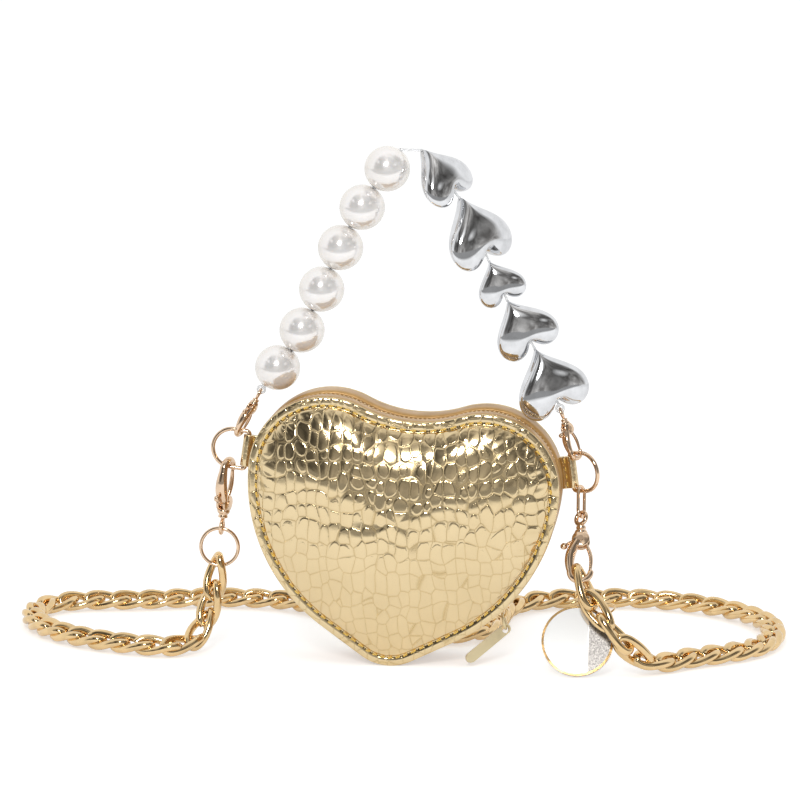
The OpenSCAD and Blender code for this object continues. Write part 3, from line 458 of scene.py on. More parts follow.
def pearl_lustre():
    """Pearl: a white body with painted shade between middle and edge and a painted warm ivory reflection at
    its rim, by how squarely it faces the view; it mirrors softly, under a glossy coat, with faint clouds."""
    m, t, s = new_material("pearl_lustre", Metallic=0.42, Roughness=0.17,
                           Coat_Weight=1.0, Coat_Roughness=0.04, Coat_IOR=1.9,
                           Subsurface_Weight=0.1, Subsurface_Radius=(0.004, 0.0035, 0.003))
    # painted shade and painted reflection: by how squarely the surface faces the view, the colour dims
    # between middle and edge and turns a brighter warm ivory at the rim
    painted_rim_and_shade_mask = add(t, "ShaderNodeLayerWeight", Blend=0.5).outputs["Facing"]
    body = ramp(t, painted_rim_and_shade_mask, [(0.0, (0.95, 0.93, 0.92)), (0.35, (0.92, 0.89, 0.87)),
                            (0.72, (0.93, 0.88, 0.81)), (0.95, (0.97, 0.92, 0.84))])
    cloud = ramp(t, noise(t, 160, 4.0), [(0.3, (0.95, 0.94, 0.92)), (0.6, (1.0, 1.0, 1.0))])
    t.links.new(mixed(t, "MULTIPLY", body, cloud), s.inputs["Base Color"])
    bump(t, s, noise(t, 900), 0.03, 0.00005)
    return m


def clear_cord():
    """Clear plastic cord, a little cloudy in places."""
    m, t, s = new_material("clear_cord", Roughness=0.12, Transmission_Weight=0.7, IOR=1.42)
    cloud = ramp(t, noise(t, 500), [(0.3, (0.86, 0.88, 0.9)), (0.7, (0.97, 0.97, 0.97))])
    t.links.new(cloud, s.inputs["Base Color"])
    return m


def thread_gold():
    """Stitching thread: two twisted plies, ridged across, in shiny gold yellow."""
    m, t, s = new_material("thread_gold", Roughness=0.5)
    wave = add(t, "ShaderNodeTexWave", bands_direction="DIAGONAL", Scale=700.0, Distortion=0.5)
    t.links.new(sized(t, 1), wave.inputs["Vector"])
    ply = wave.outputs["Fac"]
    t.links.new(ramp(t, ply, [(0.1, (0.52, 0.30, 0.04)), (0.7, (0.92, 0.62, 0.13))]), s.inputs["Base Color"])
    bump(t, s, ply, 0.5, 0.0001)
    return m


def paint_hole_shades():
    """Painted shade: a near black without shine, standing in for the shade inside a needle hole."""
    m, t, s = new_material("needle_hole", Roughness=1.0, Specular_IOR_Level=0.05)
    dark = ramp(t, noise(t, 3000), [(0.3, (0.03, 0.015, 0.005)), (0.7, (0.10, 0.06, 0.02))])
    t.links.new(dark, s.inputs["Base Color"])
    return m


def disc_mirror():
    """Mirror plate with painted reflection: at Metallic 0.55 its mirror part keeps a diffuse near-white
    share that paints in the white it would reflect; its right part is dulled to a grainy grey up to an
    upright border.
    """
    border = 0.0655
    m, t, s = new_material("disc_mirror", Metallic=0.55)
    past = sums(t, "MULTIPLY", sums(t, "ADD", along_axis(t, "X"), -border), 500.0)
    dull = ramp(t, past, [(0.4, 0.0), (0.6, 1.0)])
    grain = ramp(t, noise(t, 2200, 4.0), [(0.35, (0.07, 0.065, 0.06)), (0.65, (0.30, 0.28, 0.26))])
    # painted reflection in part: the near-white base colour, shown diffusely at Metallic 0.55, paints in the
    # white the mirror would reflect
    t.links.new(mixed(t, "MIX", (0.90, 0.90, 0.89), grain, dull), s.inputs["Base Color"])
    t.links.new(ramp(t, dull, [(0.0, 0.06), (1.0, 0.25)]), s.inputs["Roughness"])
    return m


FOIL = foil_leather()
EDGE = soft_leather("edge_leather", (0.44, 0.25, 0.08), (0.58, 0.35, 0.13), 0.4, 0.36)
TAB = tab_leather()
GOLD = plated("gold_plating", (0.88, 0.64, 0.34), 0.07)
ROSE = plated("clasp_plating", (0.86, 0.64, 0.45), 0.07)
CHROME = plated("chrome_plating", (0.80, 0.81, 0.83), 0.035)
SILVER = disc_mirror()
DISC_RIM = plated("disc_rim_plating", (0.52, 0.34, 0.15), 0.04)
PULL = plated("pull_plating", (0.90, 0.77, 0.48), 0.28, 0.4)
ZIP_CLOTH = cloth("zip_cloth", (0.56, 0.43, 0.32), (0.80, 0.67, 0.56))
LINING = cloth("lining_cloth", (0.25, 0.20, 0.15), (0.42, 0.34, 0.26), 1500.0)
PEARL = pearl_lustre()
CLEAR = clear_cord()
THREAD = thread_gold()
PAINTED_HOLE_SHADE = paint_hole_shades()

# ---------- camera ----------
CAMERA_AT = np.array([133.1, -1276.1, 290.9]) * METRES
TURN, DOWN = math.radians(6.0), math.radians(8.8)
FOCAL, SENSOR = 167.1, 36.0
lens = bpy.data.cameras.new("camera")
lens.lens, lens.sensor_width = FOCAL, SENSOR
lens.clip_end = 50.0
camera = bpy.data.objects.new("camera", lens)
camera.matrix_world = (Matrix.Translation(CAMERA_AT.tolist()) @ Matrix.Rotation(TURN, 4, "Z")
                       @ Matrix.Rotation(math.pi / 2 - DOWN, 4, "X"))
bpy.context.scene.collection.objects.link(camera)
bpy.context.scene.camera = camera

# ---------- the chain, a free cord laid on the floor ----------
CHAIN_W, LINK_PITCH = 9.6, 10.0
LINK_HALF_L, LINK_HALF_W, LINK_WIRE_R = 7.8, 3.1, 1.45
HUNG_LINKS = 4
ROUTE = np.array([
    [-68.2, 7, 31.4], [-69.5, 6.5, 22], [-71.5, 5, 13.5], [-74, 1, 6.8], [-78, -4.5, 4],
    [-85, -7.5, 4], [-98, -4.5, 4], [-110, 0.5, 4], [-121, 7.5, 4], [-131, 17, 4],
    [-139, 30, 4], [-143, 45, 4], [-140, 59, 4], [-130, 67, 4], [-117, 69, 4],
    [-102, 72, 4], [-86, 77, 4], [-68, 78, 4], [-52, 75, 4], [-38, 66, 4],
    [-23, 53, 4], [-9, 39, 4], [3, 28, 4], [14, 24, 4], [24, 30, 4],
    [28, 43, 4], [29, 58, 4], [31, 72, 4], [38, 83, 4], [49, 89, 4],
    [64, 92, 4], [79, 92, 4], [94, 88, 4], [106, 81, 4], [117, 71, 4],
    [125, 58, 4], [129, 41, 4], [127, 22, 4], [120, 9, 4], [109, 0, 4],
    [98, -8, 4], [90, -15.5, 4], [83.5, -21, 6.5], [78, -24.4, 12], [72.8, -24.2, 18],
    [67.3, -21.4, 24], [63.8, -18.2, 29.4], [62, -15, 34.5]]) + [STAND[0] + 6.0, 0, 0]
RUNS = ["chain_left_drop", "chain_left_run", "chain_back_run", "chain_right_run", "chain_right_drop"]


def smooth_route(route, steps=8):
    """The same curve as the part's: each span's cubic through four neighbouring points."""
    n = len(route) - 1
    out = []
    for i in range(n):
        a, b, c, d = route[max(i - 1, 0)], route[i], route[i + 1], route[min(i + 2, n)]
        for k in range(steps):
            t = k / steps
            square, cube = 2 * a - 5 * b + 4 * c - d, 3 * b - 3 * c + d - a
            out.append(0.5 * (2 * b + (c - a) * t + square * t * t + cube * t**3))
    return np.array(out + [route[n]])


curve = smooth_route(ROUTE)
walked = np.concatenate([[0], np.cumsum(np.linalg.norm(np.diff(curve, axis=0), axis=1))])
link_count = int(round(walked[-1] / LINK_PITCH))
stops = np.linspace(0, walked[-1], link_count + 1)
pivots = np.stack([np.interp(stops, walked, curve[:, k]) for k in range(3)], 1)
along = unit(np.diff(pivots, axis=0))
uppers = [None] * link_count
middle = link_count // 2
for order in (range(middle, link_count), range(middle, -1, -1)):
    n = np.array([0, 0, 1.0])
    for i in order:
        n = unit(n - (n @ along[i]) * along[i])
        uppers[i] = n


def twisted_link(i, shape):
    """A curb link: a long oval of round wire, leaning by how far it lies across the view and twisted
    88 degrees about its own length from end to end. The last links, which hang from the right
    clasp, stand square to each other by turns and twist less."""
    z, up = along[i], uppers[i]
    across = np.cross(up, z)
    a = np.linspace(0, 2 * np.pi, 36, endpoint=False)
    h = LINK_HALF_L * np.cos(a)
    w = LINK_HALF_W * np.sign(np.sin(a)) * np.abs(np.sin(a)) ** 0.8
    twist = np.radians(24) * across[1] - np.radians(44) * h / LINK_HALF_L
    if i >= link_count - HUNG_LINKS:
        twist = np.radians(20) * (h / LINK_HALF_L) + np.radians(90 * (i % 2)) - np.radians(34)
    centre = (pivots[i] + pivots[i + 1]) / 2
    round_it = np.cos(twist)[:, None] * across + np.sin(twist)[:, None] * up
    tube(shape, centre + h[:, None] * z + w[:, None] * round_it, LINK_WIRE_R, 10, True)


chain = Shape()
for i in range(link_count):
    twisted_link(i, chain)
chain = chain.piece("curb_chain", "strap", GOLD, RUNS, slot="gold_metal")


# ---------- the leather shell ----------
STITCHES, STITCH_IN = 98, 3.0
GROOVE, GROOVE_W, ROLL = 0.12, 0.42, 0.17
chance = np.random.default_rng(7)


def out_from(back, out):
    """The y that stands out from the back or front face of the strips by out."""
    return Y_REAR + out if back else Y_FRONT - out


def round_heart(rows, n, back=False):
    """One ring of points for each row (share, d, out): the heart's edge set in by d, drawn towards
    the middle by share, and standing out from the strip's face by out, which may change round it."""
    s = np.linspace(0, 2 * HALF, n, endpoint=False)
    rings = []
    for share, d, out in rows:
        x, z = heart_edge(s, d)
        y = out_from(back, out) + 0 * x
        rings.append(np.stack([share * x, y, MIDDLE_Z + share * (z - MIDDLE_Z)], -1))
    return leaned(np.array(rings))


def middle_point(out, back=False):
    return leaned([0, out_from(back, out), MIDDLE_Z])


def waves(s, counts, size):
    """A sum of cosines round the edge, each with its own chance phase."""
    total = 0 * s
    for k in counts:
        total = total + chance.normal() * np.cos(2 * np.pi * k * s / (2 * HALF) + chance.uniform(0, 6.28))
    return size * total / math.sqrt(len(counts))


def swell(share):
    """How far the padded leather rises: nothing at the rim, full in the middle, steep at first."""
    return BULGE * (1 - np.clip(share, 0, 1) ** 2.4) ** 0.72


def puffed_panel(back):
    """Inner skin from its middle out, round the turned edge, over the sewn rim and up the padded
    dome; stitches pull the rim in, and fine puckers run up the dome from them and die away."""
    n = 490
    s = np.linspace(0, 2 * HALF, n, endpoint=False)
    pull = 0.75 + 0.25 * np.cos(2 * np.pi * STITCHES * s / (2 * HALF))
    pucker = waves(s, range(24, 90, 3), 0.13)
    broad = waves(s, range(2, 9), 0.16)
    rows = [(q, RIM, swell(q)) for q in (0.2, 0.42, 0.62, 0.78, 0.9, 0.97, 0.995)]
    rows += [(1, RIM, 0.0), (1, LEATHER, 0.0)]
    edge_r = LEATHER / 2
    for a in np.radians(np.linspace(-80, 80, 9)):
        rows.append((1, edge_r - edge_r * math.cos(a), edge_r + edge_r * math.sin(a)))
    for d in np.arange(0.9, RIM + 0.05, 0.18):
        roll = ROLL * math.sin(math.pi * min(max((d - 0.5) / 2.4, 0), 1))
        groove = GROOVE * pull * math.exp(-((d - STITCH_IN) / GROOVE_W) ** 2)
        rows.append((1, d, LEATHER + roll - groove))
    for q in (0.999, 0.996, 0.991, 0.984, 0.975, 0.964, 0.95, 0.934, 0.915, 0.893, 0.868, 0.84, 0.81,
              0.775, 0.735, 0.69, 0.64, 0.585, 0.525, 0.46, 0.39, 0.32, 0.25, 0.18, 0.11, 0.05):
        near = (1 - q) / 0.03 * math.exp(-((1 - q) / 0.07) ** 2)
        rows.append((q, RIM, LEATHER + swell(q) + pucker * near + broad * (1 - q) * q * 4))
    shape = Shape().loft(round_heart(rows, n, back), start=middle_point(BULGE, back),
                         end=middle_point(LEATHER + BULGE, back))
    name = "back" if back else "front"
    return shape.piece(name + "_foil_leather", "purse_" + name, FOIL, [name + "_panel"], slot="foil_leather")


def stitch_row(back):
    """The stitches of one panel and, at both ends of each, a dark lump of painted shade standing for the
    hole of the needle.
    """
    def on_rim(s, p):
        x, z = heart_edge(s + p[:, 0], STITCH_IN + p[:, 1])
        return leaned(np.stack([x, out_from(back, LEATHER - GROOVE + p[:, 2]), z], -1))
    name = "back" if back else "front"
    places = (np.arange(STITCHES) + 0.5) * 2 * HALF / STITCHES
    strewn(bead(1.12, 0.4, 0.42, 2.6, 6, 8, 0.12), places, on_rim).piece(
        name + "_stitches", "purse_" + name, THREAD, slot="gold_metal")
    # painted shade: dark lumps at both ends of each stitch stand for the shade inside the needle holes
    ends = np.concatenate([places - 1.25, places + 1.25])
    strewn(bead(0.36, 0.4, 0.16, 2.0, 3, 10), ends, on_rim).piece(
        name + "_needle_holes", "purse_" + name, PAINTED_HOLE_SHADE, slot="tan_leather")


for back in (False, True):
    puffed_panel(back)
for back in (False, True):
    stitch_row(back)


def side_strip(name, body, y0, y1):
    """A closed strip round the heart: outer face a little crowned, long edges rounded."""
    u = np.concatenate([np.linspace(0, 1, 15), [1, 0.5, 0]])
    outer = 2 * u[:15] - 1
    d = np.concatenate([0.5 * np.abs(outer) ** 8 - 0.12 * (1 - outer ** 2), [LEATHER] * 3])
    s = np.linspace(0, 2 * HALF, 420, endpoint=False)
    rings = []
    for share, inset in zip(u, d):
        x, z = heart_edge(s, inset)
        rings.append(np.stack([x, y0 + share * (y1 - y0) + 0 * x, z], -1))
    shape = Shape().loft(leaned(np.array(rings)), closed_rows=True)
    shape.piece(name + "_leather", body, EDGE, [name], slot="tan_leather")


side_strip("front_strip", "purse_front", Y_FRONT, Y_ZIP_FRONT)
side_strip("rear_strip", "purse_back", Y_ZIP_REAR, Y_REAR)


def band(node, suffix, body, material, s0, s1, profile, steps, slot):
    """A profile of (d, y) points carried along the heart's edge from s0 to s1, its ends closed."""
    s = np.linspace(s0, s1, steps)[:, None]
    d = np.array([p[0] for p in profile])[None]
    y = np.array([p[1] for p in profile])[None]
    x, z = heart_edge(s + 0 * d, d + 0 * s)
    rings = leaned(np.stack([x, y + 0 * x, z], -1))
    shape = Shape().loft(rings, start=rings[0].mean(0), end=rings[-1].mean(0))
    shape.piece(node + suffix, body, material, [node], slot=slot)


def flat_band(d0, d1, y0, y1, r):
    """A flat profile with its corners drawn in by r."""
    y = (y0 + y1) / 2
    return [(d0, y0 + r), (d0, y), (d0, y1 - r), (d0 + r * 0.6, y1), (d1 - r * 0.6, y1), (d1, y1 - r),
            (d1, y), (d1, y0 + r), (d1 - r * 0.6, y0), (d0 + r * 0.6, y0)]


TAPE_OUT, SEWN_IN = LEATHER + SEAT, 2.5
band("bottom_gusset", "_leather", "purse_back", EDGE, -ZIP_END + GAP, ZIP_END - GAP,
     flat_band(0, LEATHER, Y_ZIP_FRONT + GAP, Y_ZIP_REAR, 0.3), 90, "tan_leather")
band("rear_zip_tape", "_cloth", "purse_back", ZIP_CLOTH, ZIP_END, 2 * HALF - ZIP_END,
     flat_band(TAPE_OUT, TAPE_OUT + TAPE, Y_ZIP + GAP, Y_ZIP_REAR + SEWN_IN, 0.2), 260, "zip_cloth")
band("front_zip_tape", "_cloth", "purse_front", ZIP_CLOTH, ZIP_END + 4, 2 * HALF - ZIP_END,
     flat_band(TAPE_OUT, TAPE_OUT + TAPE, Y_ZIP_FRONT - SEWN_IN, Y_ZIP - GAP, 0.2), 260, "zip_cloth")

TOOTH_PITCH, TOOTH_COUNT, TOOTH_OFF = 1.6, 149, 1.05
for name, body, y, late in (("front", "purse_front", Y_ZIP - TOOTH_OFF, 0.0),
                            ("rear", "purse_back", Y_ZIP + TOOTH_OFF, 0.5)):
    def on_zip(s, p, y=y):
        x, z = heart_edge(s + p[:, 0], LEATHER - 0.42 - p[:, 2])
        return leaned(np.stack([x, y + p[:, 1], z], -1))
    starts = ZIP_END + 4.4 + (np.arange(TOOTH_COUNT) + late) * TOOTH_PITCH
    strewn(bead(0.42, 1.15, 0.48, 3.5, 4, 8), starts, on_zip).piece(
        name + "_teeth", body, GOLD, [name + "_zip_teeth"], slot="gold_metal")


def cup(back):
    """The cloth behind a panel: a shallow cup that follows the dome, with a skirt along the strip."""
    d, thick, inward, rise = LEATHER + TAPE + SEAT + GAP, 0.6, 0.92, 0.85
    skirt = (REAR_W if back else FRONT_W) - SEWN_IN - GAP

    def skin(depth):
        return ([(1, d + depth, -skirt), (1, d + depth, -GAP - depth)]
                + [(inward * q, RIM, -GAP - depth + rise * swell(q))
                   for q in (1, 0.97, 0.92, 0.86, 0.76, 0.62, 0.45, 0.25)])
    rows = skin(0)[::-1] + skin(thick)
    top = -GAP + rise * BULGE
    shape = Shape().loft(round_heart(rows, 240, back), start=middle_point(top, back),
                         end=middle_point(top - thick, back))
    name = "rear" if back else "front"
    shape.piece(name + "_lining_cloth", "purse_back" if back else "purse_front", LINING,
                [name + "_lining"], slot="lining_cloth")


cup(False)
cup(True)

# ---------- tabs and D rings ----------
TAB_L, TAB_T, TAB_REACH, WIRE, D_HALF, D_STRAIGHT = 11.4, 1.1, 3.4, 1.5, 6.8, 5.5
RIGHT_AT, LEFT_AT, RIGHT_SWING = 13, 3, 40


def beside(side, p, swing=0.0):
    """From a ring's own frame (bar along z, bow towards x) to the part's."""
    p = np.asarray(p, float)
    a = math.radians(RIGHT_AT if side > 0 else LEFT_AT)
    q = math.radians(swing)
    x = p[..., 0] * math.cos(q) + p[..., 1] * math.sin(q)
    y = p[..., 1] * math.cos(q) - p[..., 0] * math.sin(q)
    r = LOBE_R + TAB_REACH + x
    return leaned(np.stack([side * (LOBE_X + r * math.cos(a) - p[..., 2] * math.sin(a)), Y_RINGS + y,
                            LOBE_Z + r * math.sin(a) + p[..., 2] * math.cos(a)], -1))


def tab(side, name):
    """Leather folded round the ring's bar: a teardrop outline in x and y carried along the bar, its
    ends drawn in a little; a row of stitches holds the fold."""
    fold = np.radians(np.linspace(-140, 140, 25))
    r = WIRE / 2 + 0.05 + TAB_T
    root, waist = -TAB_REACH - 1.3, -2.6
    outline = np.concatenate([[[root, -TAB_T], [waist, -TAB_T * 0.9]],
                              np.stack([r * np.cos(fold), r * np.sin(fold)], -1),
                              [[waist, TAB_T * 0.9], [root, TAB_T]]])
    rows = []
    for z, less in ((-1, 0.35), (-0.985, 0.12), (-0.95, 0), (-0.5, 0), (0, 0),
                    (0.5, 0), (0.95, 0), (0.985, 0.12), (1, 0.35)):
        ring = outline * (1 - less / r)
        rows.append(np.concatenate([ring, np.full((len(ring), 1), z * TAB_L / 2)], 1))
    poles = [beside(side, [-1.2, 0, end * TAB_L / 2]) for end in (-1, 1)]
    shape = Shape().loft(beside(side, np.array(rows)), start=poles[0], end=poles[1])
    shape.piece(name + "_leather", "purse_back", TAB, [name], slot="tan_leather")

    def on_tab(place, p):
        along_bar, face = place
        top = np.sign(face) * (TAB_T * 0.92 + p[:, 2] - 0.05)
        return beside(side, np.stack([-1.95 + p[:, 1], top, along_bar + p[:, 0]], -1))
    places = [(z, y) for z in (-4.2, -1.4, 1.4, 4.2) for y in (-1, 1)]
    strewn(bead(0.95, 0.3, 0.3, 2.6, 6, 8), places, on_tab).piece(
        name + "_stitches", "purse_back", THREAD, slot="gold_metal")


def d_ring(side, name, body):
    """Round wire along a closed path: a straight bar, two short straights and a half-round bow."""
    corner = 1.1
    bar = np.linspace(-D_HALF + corner, D_HALF - corner, 10)[1:-1]
    path = np.concatenate([
        arc([corner, 0, D_HALF - corner], [-1, 0, 0], [0, 0, 1], corner, 0, 90, 7),
        arc([D_STRAIGHT, 0, 0], [0, 0, 1], [1, 0, 0], D_HALF, 0, 180, 33),
        arc([corner, 0, -D_HALF + corner], [0, 0, -1], [-1, 0, 0], corner, 0, 90, 7),
        np.stack([0 * bar, 0 * bar, bar], -1)])
    shape = Shape()
    tube(shape, beside(side, path, RIGHT_SWING if side > 0 else 0), WIRE / 2, 18, True)
    shape.piece(name + "_wire", body, ROSE, [name], slot="gold_metal")


for side, name in ((-1, "left"), (1, "right")):
    tab(side, name + "_tab")
    d_ring(side, name + "_d_ring", name + "_ring")


# ---------- beads ----------
def at_joint(name):
    """A joint's place and its axis."""
    j = joints[name]
    return np.array(j["pos_m"], float) / METRES, unit(j["axis"])


def pearl(i):
    """A ball with a fine bore: the outline of both turned about the thread."""
    centre, axis = at_joint(f"pearl_{i}_spin")
    r, bore, bore_half = 8.0, 0.85, 7.2
    a = np.linspace(math.asin(bore / r), math.pi - math.asin(bore / r), 41)
    outline = np.stack([r * np.sin(a), r * np.cos(a)], -1)
    bored = np.stack([np.full(5, bore), np.linspace(-bore_half, bore_half, 5)], -1)
    shape = Shape()
    turned_profile(shape, np.concatenate([outline, bored]), centre, axis, 64, closed=True)
    shape.piece(f"pearl_bead_{i}", f"pearl_{i}", PEARL, [f"pearl_{i}"], slot="pearl")


for i in range(1, 7):
    pearl(i)

HEART_WIDTHS, HEART_TURNS = [22.8, 27.0, 17.3, 22.8, 26.4], [50, 44, 8, 8, 22]


def turn(axis, degrees):
    return np.array(Matrix.Rotation(math.radians(degrees), 3, axis))


def puffed_heart(i):
    """The heart curve x = 16 sin^2.6 t, z = 13 cos t - 5 cos 2t - 2 cos 3t - cos 4t, drawn in towards
    its middle by share, where it turns into a plain oval, while it swells front and back by
    sqrt(1 - share^2.7): flatter in the middle and steeper at the rim than an ellipse."""
    place, axis = at_joint(f"heart_{i + 1}_spin")
    w = HEART_WIDTHS[i]
    wide, tall, plump, tip_z = w / 32, 0.92 * w / 28.9, 0.42 * w / 2, 17
    t = np.linspace(0, 2 * np.pi, 120, endpoint=False)
    x = 16 * np.sign(np.sin(t)) * np.abs(np.sin(t)) ** 2.6
    z = 13 * np.cos(t) - 5 * np.cos(2 * t) - 2 * np.cos(3 * t) - np.cos(4 * t)
    a = np.linspace(0, np.pi, 42)[1:-1]
    share = np.sin(a)
    y = plump * np.sign(np.cos(a)) * np.sqrt(1 - share ** 2.7)
    blend = share[:, None] ** 2.2
    x = blend * x + (1 - blend) * 13.5 * np.sin(t)
    z = blend * z + (1 - blend) * (12.0 * np.cos(t) - 1.5)
    rings = np.stack([-share[:, None] * x * wide, y[:, None] + 0 * x,
                      -(share[:, None] * z + tip_z) * tall], -1)
    round_z = math.degrees(math.atan2(axis[1], axis[0]))
    tilt = math.degrees(math.atan2(math.hypot(axis[0], axis[1]), axis[2]))
    m = turn("Z", round_z) @ turn("Y", tilt) @ turn("Z", -round_z) @ turn("Z", HEART_TURNS[i])
    poles = [place + np.array([0, y0, -tip_z * tall]) @ m.T for y0 in (plump, -plump)]
    shape = Shape().loft(place + rings @ m.T, start=poles[0], end=poles[1])
    shape.piece(f"heart_bead_{i + 1}", f"heart_{i + 1}", CHROME, [f"heart_{i + 1}"], slot="silver_chrome")


for i in range(5):
    puffed_heart(i)


# ---------- clasps ----------
PIVOT, HOOK_R = 9.3, 2.7
CLASPS = ("handle_left", "handle_right", "strap_left", "strap_right")


def clasp(name, material):
    """A lobster clasp in its own frame (hook's middle at the origin, gate at +x, eye at -z): a wire
    hook that widens into a flat spine, two round cheeks, a turned neck, and a bowed gate whose
    other arm ends in a thumb knob. It is drawn with its lever's pivot at PIVOT and then scaled."""
    hook, down = at_joint(name + "_swivel")
    pivot, gate_axis = at_joint(name + "_lever_press")
    z = -down
    y = -gate_axis
    x = np.cross(y, z)
    axes = np.linalg.norm(pivot - hook) / PIVOT * np.stack([x, y, z])
    side, up = [0, 1.0, 0], [0, 0, 1.0]

    def placed(shape):
        shape.points = [hook + p @ axes for p in shape.points]
        return shape

    k = np.linspace(0, 1, 22)
    bend = arc([0, 0, 0], [1, 0, 0], [0, 0, 1], HOOK_R, 4, 176, 26)
    spine = np.stack([-HOOK_R - 0.55 * np.sin(np.pi * k) + 1.9 * k**2, 0 * k, -0.3 - 9.0 * k], -1)
    widening = 1.15 + 0.75 * np.sin(np.pi * (0.1 + 0.75 * k)) * k**0.4
    radius = np.concatenate([np.linspace(0.8, 1.15, 26), widening])
    flat = np.concatenate([np.linspace(1.0, 0.9, 26), 0.9 - 0.2 * k])
    body = tube(Shape(), np.concatenate([bend, spine]), radius, 20, start=side, flat=flat)
    cheek = [(0, -0.5), (1.9, -0.48), (2.3, -0.3), (2.42, 0), (2.3, 0.3), (1.9, 0.48), (0, 0.5)]
    for way in (-1, 1):
        turned_profile(body, cheek, np.array([0, way * 1.02, -PIVOT]), side, 40)
    neck = [(0, -13.5), (0.9, -13.45), (1.3, -13.3), (1.36, -12.9), (1.2, -12.7), (1.22, -12.3),
            (1.6, -12.0), (1.8, -11.5), (1.72, -11.0), (1.2, -10.75), (0, -10.7)]
    turned_profile(body, neck, np.zeros(3), up, 36)
    placed(body).piece(name + "_casting", name + "_clasp", material, [name + "_clasp"], slot="clasp_gold")

    k = np.linspace(0, 1, 20)
    bow = np.sin(np.pi * k)
    gate = tube(Shape(), np.stack([0.6 + 1.95 * k + bow, 0 * k, -PIVOT + 8.9 * k], -1), 0.5 + 0.2 * bow, 14,
                start=side, flat=0.8)
    hub = [(0, -0.42), (1.5, -0.4), (1.6, 0), (1.5, 0.4), (0, 0.42)]
    turned_profile(gate, hub, np.array([0, 0, -PIVOT]), side, 30)
    tube(gate, np.stack([-4.3 * k, 0 * k, -PIVOT + 1.6 * k - 0.5 * bow], -1), 0.55 - 0.1 * k, 12,
         start=side, flat=0.85)
    knob = [(0, -0.85), (0.7, -0.65), (1.0, 0), (0.7, 0.65), (0, 0.85)]
    turned_profile(gate, knob, np.array([-4.5, 0, -7.6]), side, 24)
    placed(gate).piece(name + "_gate", name + "_lever", material, [name + "_lever"], slot="clasp_gold")


for name in CLASPS:
    clasp(name, ROSE)


def dress(material, *names):
    for name in names:
        for place in nodes[name].material_slots:
            place.material = material
        if not nodes[name].material_slots:
            nodes[name].data.materials.append(material)


dress(GOLD, "zip_slider", "zip_stop", "disc_ring")
dress(PULL, "pull_link", "pull_bar")
dress(ROSE, "jump_ring", "oval_link", *[n + k for n in CLASPS for k in ("_rivet", "_eye")])
dress(SILVER, "mirror_disc")
dress(DISC_RIM, "disc_rim")
dress(CLEAR, "handle_cord")


# ---------- studio ----------
def studio_world():
    """White to the camera and an even white for soft light. Mirrors see a plain studio by direction:
    in front a grey room, darker to both sides, with three soft round lamps; white behind."""
    world = bpy.data.worlds.new("studio")
    bpy.context.scene.world = world
    world.use_nodes = True
    t = world.node_tree
    t.nodes.clear()
    way = t.nodes.new("ShaderNodeTexCoord").outputs["Generated"]
    split = t.nodes.new("ShaderNodeSeparateXYZ")
    t.links.new(way, split.inputs[0])
    x, y, z = split.outputs
    room = ramp(t, z, [(0.0, 0.62), (0.12, 0.46), (0.35, 0.34), (0.6, 0.30), (0.78, 0.5), (0.92, 1.0)])
    across = ramp(t, sums(t, "ADD", sums(t, "MULTIPLY", x, 0.5), 0.5),
                  [(0.04, 1.0), (0.14, 0.30), (0.30, 0.26), (0.40, 0.85), (0.72, 0.85), (0.80, 0.35),
                   (0.90, 0.45), (0.98, 1.0)])
    clouds = add(t, "ShaderNodeTexNoise", Scale=4.0, Detail=3.0, Roughness=0.55)
    t.links.new(way, clouds.inputs["Vector"])
    blotch = ramp(t, clouds.outputs["Fac"], [(0.35, (0.42, 0.40, 0.38)), (0.62, (1.25, 1.22, 1.18))])
    for layer in (across, blotch):
        room = mixed(t, "MULTIPLY", room, layer)
    for lx, lz, wide, bright in ((0.04, 0.60, 0.24, 0.9), (-0.62, 0.55, 0.14, 0.8), (0.70, 0.40, 0.14, 0.6)):
        dx = sums(t, "POWER", sums(t, "ADD", x, -lx), 2.0)
        dz = sums(t, "POWER", sums(t, "ADD", z, -lz), 2.0)
        near = sums(t, "MULTIPLY", sums(t, "ADD", dx, dz), 1 / wide**2)
        glow = ramp(t, near, [(0.0, bright), (0.3, 0.55 * bright), (1.0, 0.0)])
        room = mixed(t, "ADD", room, glow)
    ahead = sums(t, "ADD", sums(t, "MULTIPLY", y, -0.5), sums(t, "MULTIPLY", x, 0.17))
    front = ramp(t, sums(t, "ADD", ahead, 0.5), [(0.5, 0.0), (0.62, 1.0)])
    seen = mixed(t, "MIX", (0.95, 0.95, 0.95), room, front)
    rays = t.nodes.new("ShaderNodeLightPath").outputs
    lit = mixed(t, "MIX", (0.7, 0.7, 0.7), seen, rays["Is Glossy Ray"])
    shown = sums(t, "MAXIMUM", rays["Is Camera Ray"], rays["Is Transmission Ray"])
    back = t.nodes.new("ShaderNodeBackground")
    t.links.new(mixed(t, "MIX", lit, (1, 1, 1), shown), back.inputs["Color"])
    t.links.new(back.outputs["Background"], t.nodes.new("ShaderNodeOutputWorld").inputs["Surface"])


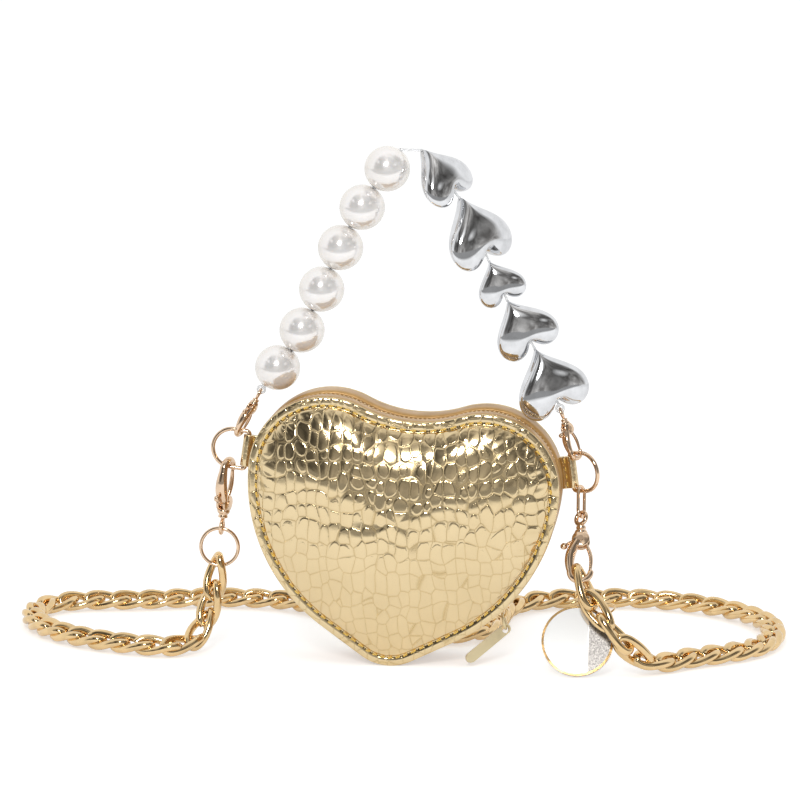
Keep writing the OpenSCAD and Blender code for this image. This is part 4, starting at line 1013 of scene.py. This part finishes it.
def pale_floor():
    """White paper under and behind the purse; mirrors see it end in front, between near and far
    metres, and a grey room floor beyond. Camera and mirror rays see the paper glow a little."""
    near, far = 0.27, 0.42
    mesh = bpy.data.meshes.new("floor")
    mesh.from_pydata([(-9, -6, 0), (9, -6, 0), (9, 14, 0), (-9, 14, 0)], [], [(0, 1, 2, 3)])
    floor = bpy.data.objects.new("floor", mesh)
    bpy.context.scene.collection.objects.link(floor)
    m, t, s = new_material("pale_floor", Roughness=0.9, Specular_IOR_Level=0.1)
    t.links.new(ramp(t, noise(t, 1), [(0.3, 0.80), (0.7, 0.82)]), s.inputs["Base Color"])
    rays = t.nodes.new("ShaderNodeLightPath").outputs
    glow = add(t, "ShaderNodeEmission")
    strength = sums(t, "ADD", 0.24, sums(t, "MULTIPLY", rays["Is Camera Ray"], 0.22))
    t.links.new(strength, glow.inputs["Strength"])
    paper = t.nodes.new("ShaderNodeAddShader")
    t.links.new(s.outputs["BSDF"], paper.inputs[0])
    t.links.new(glow.outputs["Emission"], paper.inputs[1])
    room = add(t, "ShaderNodeEmission", Strength=0.34)
    beyond = ramp(t, sums(t, "MULTIPLY", along_axis(t, "Y"), -1.0), [(near, 0.0), (far, 1.0)])

    def shared(share, a, b):
        node = t.nodes.new("ShaderNodeMixShader")
        for socket, value in zip(node.inputs, (share, a, b)):
            t.links.new(value, socket)
        return node.outputs["Shader"]
    mirrored = shared(sums(t, "MULTIPLY", beyond, rays["Is Glossy Ray"]), paper.outputs["Shader"],
                      room.outputs["Emission"])
    seen = sums(t, "MAXIMUM", rays["Is Camera Ray"], rays["Is Glossy Ray"])
    out = next(n for n in t.nodes if n.type == "OUTPUT_MATERIAL")
    t.links.new(shared(seen, s.outputs["BSDF"], mirrored), out.inputs["Surface"])
    mesh.materials.append(m)


def lamp(name, at, size, power, mirrored=True):
    """A round area lamp in metres and watts, turned to the purse; mirrored says if metal shows it."""
    light = bpy.data.lights.new(name, "AREA")
    light.shape, light.size, light.energy = "DISK", size, power
    obj = bpy.data.objects.new(name, light)
    look = Vector((0, 0, 0.08)) - Vector(at)
    obj.matrix_world = Matrix.Translation(at) @ look.to_track_quat("-Z", "Y").to_matrix().to_4x4()
    obj.visible_glossy = mirrored
    bpy.context.scene.collection.objects.link(obj)


studio_world()
pale_floor()
lamp("key", (-0.03, -1.22, 0.80), 0.34, 6.5)
lamp("fill", (0.85, -0.45, 0.8), 1.1, 2.4, False)
bpy.context.scene.view_settings.view_transform = "Standard"
